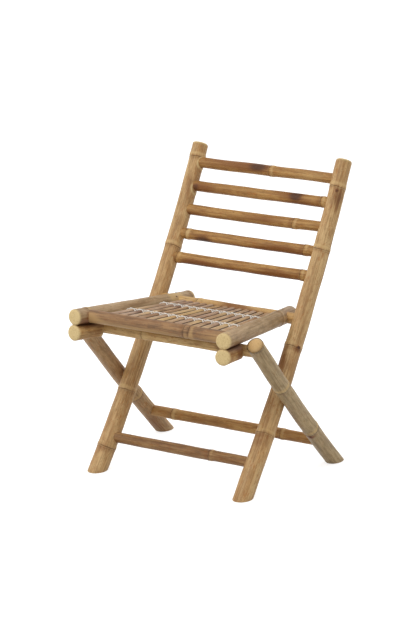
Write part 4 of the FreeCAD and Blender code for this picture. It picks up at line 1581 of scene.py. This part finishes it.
    def build_cross_pieces(self) -> None:
        """Makes the front rail and the rear axle."""
        reach = SIZES.rail_front_reach - SIZES.front_rail_setback
        front = SIZES.seat_points([[0.0, -reach, 0.0]])[0]
        thick = self.slat_edge + self.slat_crown
        middle, height = self.slat_underside + thick / 2, thick + 2 * self.fit
        rail_groove = Groove(-1.0, middle, height, self.groove, SIZES.rail_x(reach) - SIZES.rail_radius)
        axle_groove = Groove(1.0, middle, height, self.groove,
                             SIZES.rail_half_axle - SIZES.rail_radius)
        Bar("seat_front_rail", front[1], front[2], SIZES.front_rail_radius, self.front_marks, FRONT,
            groove=rail_groove).make(self.body)
        _, y, z = SIZES.axle
        Bar("seat_axle", y, z, SIZES.axle_radius, self.axle_marks, BAR,
            groove=axle_groove).make(self.body)

    def slat_section(self) -> tuple[Array, Array, Array]:
        """The loop of points around a slat: a parabolic crown with rounded edges, then a flat.

        Returns:
            Each point's place across, from -1 to 1, its height over the underside, and whether it
            lies on the crown.
        """
        crown, flat = np.linspace(1, -1, 21), np.linspace(-1, 1, 13)[1:-1]
        across = np.concatenate([crown, flat])
        on_crown = np.arange(len(across)) < len(crown)
        rounded = ramp(np.abs(across), 0.82, 1.0) ** 2
        bevelled = ramp(np.abs(across), 0.8, 1.0)
        height = self.slat_edge + self.slat_crown * (1 - across ** 2) - self.slat_round * rounded
        return across, np.where(on_crown, height, self.slat_bevel * bevelled), on_crown

    def build_slat(self, number: int) -> None:
        """Makes one slat: its section drawn out from rear to front, with slow sine waves.

        Args:
            number: Its number from the left, from 0.
        """
        random = np.random.default_rng(60 + number)
        place = number - (self.slats - 1) / 2
        reach = np.linspace(self.slat_rear, self.slat_front, self.slat_rows)
        pitch, width = self.slat_lines(reach)
        across, lift, on_crown = self.slat_section()
        wave = np.sin(TURN * (reach / random.uniform(*self.slat_waves) + random.uniform()))
        fade = (np.clip((reach - reach[0]) / self.slat_fade, 0, 1)
                * np.clip((reach[-1] - reach) / self.slat_fade, 0, 1))
        waver = np.sin(TURN * (reach / random.uniform(*self.slat_wavers)))
        width = width * (1 - self.slat_waver * waver)
        middle = place * pitch[:, None]
        x = middle + width[:, None] / 2 * across[None, :]
        z = self.slat_underside + lift[None, :] + (self.slat_wave * wave * fade)[:, None]
        along = np.broadcast_to(reach[:, None], x.shape)
        rows = np.stack([x, -along, z], axis=2)
        ends = SIZES.seat_points([rows[0].mean(axis=0), rows[-1].mean(axis=0)])
        points = np.concatenate([ends[:1], SIZES.seat_points(rows), ends[1:]])
        piece = new_piece(f"slat_{number + 1:02d}_strip", points, closed_tube(len(reach), len(across)))
        local = np.stack([x - middle, z, along], axis=2).reshape(-1, 3)
        ends = np.array([[0, 0, reach[0]], [0, 0, reach[-1]]])
        offset = np.array([0.0, 0.0, self.SLAT_SHIFT * (number + 1)])
        set_vectors(piece, "pole", np.concatenate([ends[:1], local, ends[1:]]) + offset)
        self.stain_slat(piece, random, reach, across, on_crown)
        finish = SLATS[random.integers(len(SLATS))]
        finish_piece(piece, finish, self.body, f"slat_{number + 1:02d}")

    def stain_slat(self, piece: bpy.types.Object, random: np.random.Generator, reach: Array,
                   across: Array, on_crown: Array) -> None:
        """Stores a slat's masks: painted shade along its long edges, two faint charred patches and a
        tone that drifts.

        Args:
            piece: The slat.
            random: What draws its irregularities.
            reach: How far in front of the axle each row lies.
            across: Each point's place across, from -1 to 1.
            on_crown: Whether the point lies on the crown.
        """
        # Painted shade in the gaps between slats: the long edges take the line colour, less on the
        # underside.
        dark = ramp(np.abs(across), 0.8, 0.94) * np.where(on_crown, 1.2, 0.6)
        burn_and_shade = np.zeros(len(reach))
        for _ in range(self.slat_burns):
            spot, size = random.uniform(reach[0], reach[-1]), random.uniform(*self.burn_reaches)
            burn_and_shade = np.maximum(burn_and_shade, random.uniform(*self.burn_strengths) * bell(reach - spot, size))
        edges = np.tile(dark, len(reach))
        masks = np.stack([edges, np.repeat(burn_and_shade, len(across)), 0 * edges], axis=1)
        set_vectors(piece, "marks", np.concatenate([masks[:1], masks, masks[-1:]]))
        tone = random.uniform(*self.slat_tones)
        tone = tone + self.tone_drift * np.sin(TURN * reach / random.uniform(*self.tone_lengths))
        set_numbers(piece, "tone", np.concatenate(
            [tone[:1], np.repeat(tone, len(across)), tone[-1:]]))

    def build_lashing(self, name: str, reach: float) -> None:
        """Makes one row of twined cord: two pairs of strands that cross over every slat.

        A strand's height is a rounded square wave, over one slat and under the next. Its place
        along the slats is a triangle wave, and the second pair mirrors the first.

        Args:
            name: The lashing's node.
            reach: How far in front of the axle it lies.
        """
        pitch = float(self.slat_lines(reach)[0])
        top = self.slat_underside + self.slat_edge + self.slat_crown + self.cord_radius
        low = self.slat_underside - self.cord_radius
        place = np.linspace(-self.slats / 2, self.slats / 2, self.slats * self.twine_steps + 1)
        points, faces, start = [], [], 0
        for pair in (1.0, -1.0):
            for phase in (0.0, 1.0):
                beat = self.twine_tightness * np.cos(math.pi * (place + phase))
                level = np.tanh(beat) / math.tanh(self.twine_tightness)
                height = (top + low) / 2 + (top - low) / 2 * level
                height += np.where((level > 0.5) & (pair > 0), self.twine_lift, 0.0)
                slant = 2 * np.abs(np.mod(place + 0.5 + phase, 2.0) - 1.0) - 1.0
                path = np.stack([place * pitch, -reach + pair * self.twine_spread * slant, height], 1)
                strand, strand_faces = self.cord_tube(path)
                points.append(strand)
                faces += [tuple(corner + start for corner in face) for face in strand_faces]
                start += len(strand)
        piece = new_piece(f"{name}_cord", SIZES.seat_points(np.concatenate(points)), faces)
        finish_piece(piece, CORD, self.body, name)

    def cord_tube(self, path: Array) -> tuple[Array, list[tuple[int, ...]]]:
        """A two-ply cord along a path: the radius swells twice around, turning as it goes.

        Args:
            path: Points along the cord's middle.

        Returns:
            The tube's points and faces.
        """
        ahead = np.gradient(path, axis=0)
        ahead /= np.linalg.norm(ahead, axis=1, keepdims=True)
        side = np.cross(np.array(UPWARDS), ahead)
        side /= np.linalg.norm(side, axis=1, keepdims=True)
        across = np.cross(ahead, side)
        gone = np.concatenate([[0.0], np.cumsum(np.linalg.norm(np.diff(path, axis=0), axis=1))])
        bearing = np.arange(self.CORD_AROUND) * TURN / self.CORD_AROUND
        ply = np.abs(np.cos(bearing[None, :] + math.pi * gone[:, None] / self.cord_lay))
        reach = self.cord_radius * (self.CORD_VALLEY + (self.CORD_RIDGE - self.CORD_VALLEY) * ply)
        near, far = reach * np.cos(bearing), reach * np.sin(bearing)
        rings = path[:, None] + near[:, :, None] * side[:, None] + far[:, :, None] * across[:, None]
        points = np.concatenate([path[:1], rings.reshape(-1, 3), path[-1:]])
        return points, closed_tube(len(path), self.CORD_AROUND)


@dataclass(frozen=True)
class Lamp:
    """A square soft lamp.

    Attributes:
        name: Its name.
        place: Where it stands, in metres.
        size: Its side, in metres.
        power: Its power, in watts.
    """

    name: str
    place: tuple[float, float, float]
    size: float
    power: float


@dataclass
class Studio:
    """A white floor and backdrop, soft lamps, and a camera at the photograph's angle.

    Attributes:
        azimuth: Turn of the view about the vertical, in degrees, from straight at the front.
        elevation: How far the camera looks down, in degrees.
        distance: From the target to the camera, in metres.
        target: Offset to the right of the view, and then Y and Z of the point looked at.
        focal_pixels: Focal length in pixels of the photograph.
        centre: Pixel of the photograph that lies on the camera's axis.
        image: Width and height of the photograph, in pixels.
        sensor: Width of the camera's sensor, in millimetres.
        far: How far the camera sees, in metres.
        lamps: The lamps.
        lamp_aim: The point that the lamps face.
        floor_half: Half the floor's side, in metres.
        floor_drop: How far the floor lies under the feet, so that their faces don't coincide.
        paper: Hex code of the floor.
        floor_glow: What the floor adds to look white to the camera.
        sky_light: The world's strength as a light. To the camera it is 1.
    """

    azimuth: float = 31.74
    elevation: float = 14.77
    distance: float = 6.4182
    target: tuple[float, float, float] = (-0.00774, -0.0027, 0.3926)
    focal_pixels: float = 2552.77
    centre: tuple[float, float] = (208.46, 314.09)
    image: tuple[float, float] = (416.0, 624.0)
    sensor: float = 36.0
    far: float = 100.0
    lamps: tuple[Lamp, ...] = (Lamp("key_lamp", (-0.6, -3.0, 3.6), 2.6, 60.0),
                               Lamp("fill_lamp", (-3.2, -0.6, 2.2), 2.6, 16.0),
                               Lamp("back_lamp", (0.4, 3.0, 3.0), 2.4, 30.0))
    lamp_aim: tuple[float, float, float] = (0.0, 0.0, 0.4)
    floor_half: float = 30.0
    floor_drop: float = 0.5 * MM
    paper: str = "#cccccc"
    floor_glow: float = 0.72
    sky_light: float = 0.71

    def build(self) -> None:
        """Sets up the camera, the lamps, the floor and the world."""
        self.add_camera()
        for lamp in self.lamps:
            self.add_lamp(lamp)
        self.add_floor()
        self.add_world()
        bpy.context.scene.view_settings.view_transform = "Standard"

    def add_camera(self) -> None:
        """Places the camera on the line of sight that the photograph was taken along."""
        a, e = math.radians(self.azimuth), math.radians(self.elevation)
        back = Vector((math.sin(a) * math.cos(e), -math.cos(a) * math.cos(e), math.sin(e)))
        right = Vector((math.cos(a), math.sin(a), 0.0))
        up = back.cross(right)
        side, y, z = self.target
        place = Vector((0.0, y, z)) + right * side + back * self.distance
        camera = bpy.data.objects.new("camera", bpy.data.cameras.new("camera"))
        bpy.context.scene.collection.objects.link(camera)
        turn = Matrix((right, up, back)).transposed().to_4x4()
        camera.matrix_world = Matrix.Translation(place) @ turn
        wide, tall = self.image
        camera.data.sensor_width = self.sensor
        camera.data.lens = self.focal_pixels * self.sensor / tall
        camera.data.shift_x = (wide / 2 - self.centre[0]) / tall
        camera.data.shift_y = (self.centre[1] - tall / 2) / tall
        camera.data.clip_end = self.far
        bpy.context.scene.camera = camera

    def add_lamp(self, lamp: Lamp) -> None:
        """Adds a lamp that faces the seat.

        Args:
            lamp: The lamp.
        """
        light = bpy.data.lights.new(lamp.name, "AREA")
        light.size = lamp.size
        light.energy = lamp.power
        stand = bpy.data.objects.new(lamp.name, light)
        bpy.context.scene.collection.objects.link(stand)
        turn = (Vector(self.lamp_aim) - Vector(lamp.place)).to_track_quat("-Z", "Y")
        stand.matrix_world = Matrix.Translation(lamp.place) @ turn.to_matrix().to_4x4()

    def seen(self, tree: bpy.types.NodeTree) -> bpy.types.NodeSocket:
        """One where the camera looks, straight, by a reflection or through glass, and else zero.

        Args:
            tree: The node tree that it is for.

        Returns:
            The socket that gives it.
        """
        path = add_node(tree, "LightPath").outputs
        bent = add_node(tree, "Math", {"operation": "MAXIMUM"}, in0=path["Is Glossy Ray"],
                        in1=path["Is Transmission Ray"])
        return add_node(tree, "Math", {"operation": "MAXIMUM"}, in0=path["Is Camera Ray"],
                        in1=bent.outputs[0]).outputs[0]

    def add_floor(self) -> None:
        """Adds a wide floor that looks white to the camera and keeps a faint shadow."""
        signs = np.array([[-1, -1], [1, -1], [1, 1], [-1, 1]])
        corners = np.column_stack([signs * self.floor_half, np.full(4, -self.floor_drop)])
        floor = new_piece("floor", corners, [(0, 1, 2, 3)], smooth=False)
        material, tree = empty_material("paper_floor")
        paper = add_node(tree, "BsdfDiffuse", Color=linear(self.paper))
        strength = add_node(tree, "Math", {"operation": "MULTIPLY"}, in0=self.seen(tree),
                            in1=self.floor_glow)
        glow = add_node(tree, "Emission", Color=linear("#ffffff"), Strength=strength.outputs[0])
        both = add_node(tree, "AddShader", in0=paper.outputs[0], in1=glow.outputs[0])
        add_node(tree, "OutputMaterial", Surface=both.outputs[0])
        floor.data.materials.append(material)

    def add_world(self) -> None:
        """Makes the world white to the camera and to reflections, and softer as a light."""
        world = bpy.data.worlds.new("studio_world")
        world.use_nodes = True
        tree = world.node_tree
        tree.nodes.clear()
        strength = add_node(tree, "MapRange", Value=self.seen(tree), To_Min=self.sky_light, To_Max=1.0)
        sky = add_node(tree, "Background", Color=linear("#ffffff"), Strength=strength.outputs[0])
        add_node(tree, "OutputWorld", Surface=sky.outputs[0])
        bpy.context.scene.world = world


def main() -> None:
    """Builds the studio and the chair's sub-assemblies in order."""
    logging.basicConfig(level=logging.INFO, format="%(message)s")
    Studio().build()
    BackFrame().build()
    LegFrame().build()
    Seat().build()


if __name__ == "__main__":
    main()
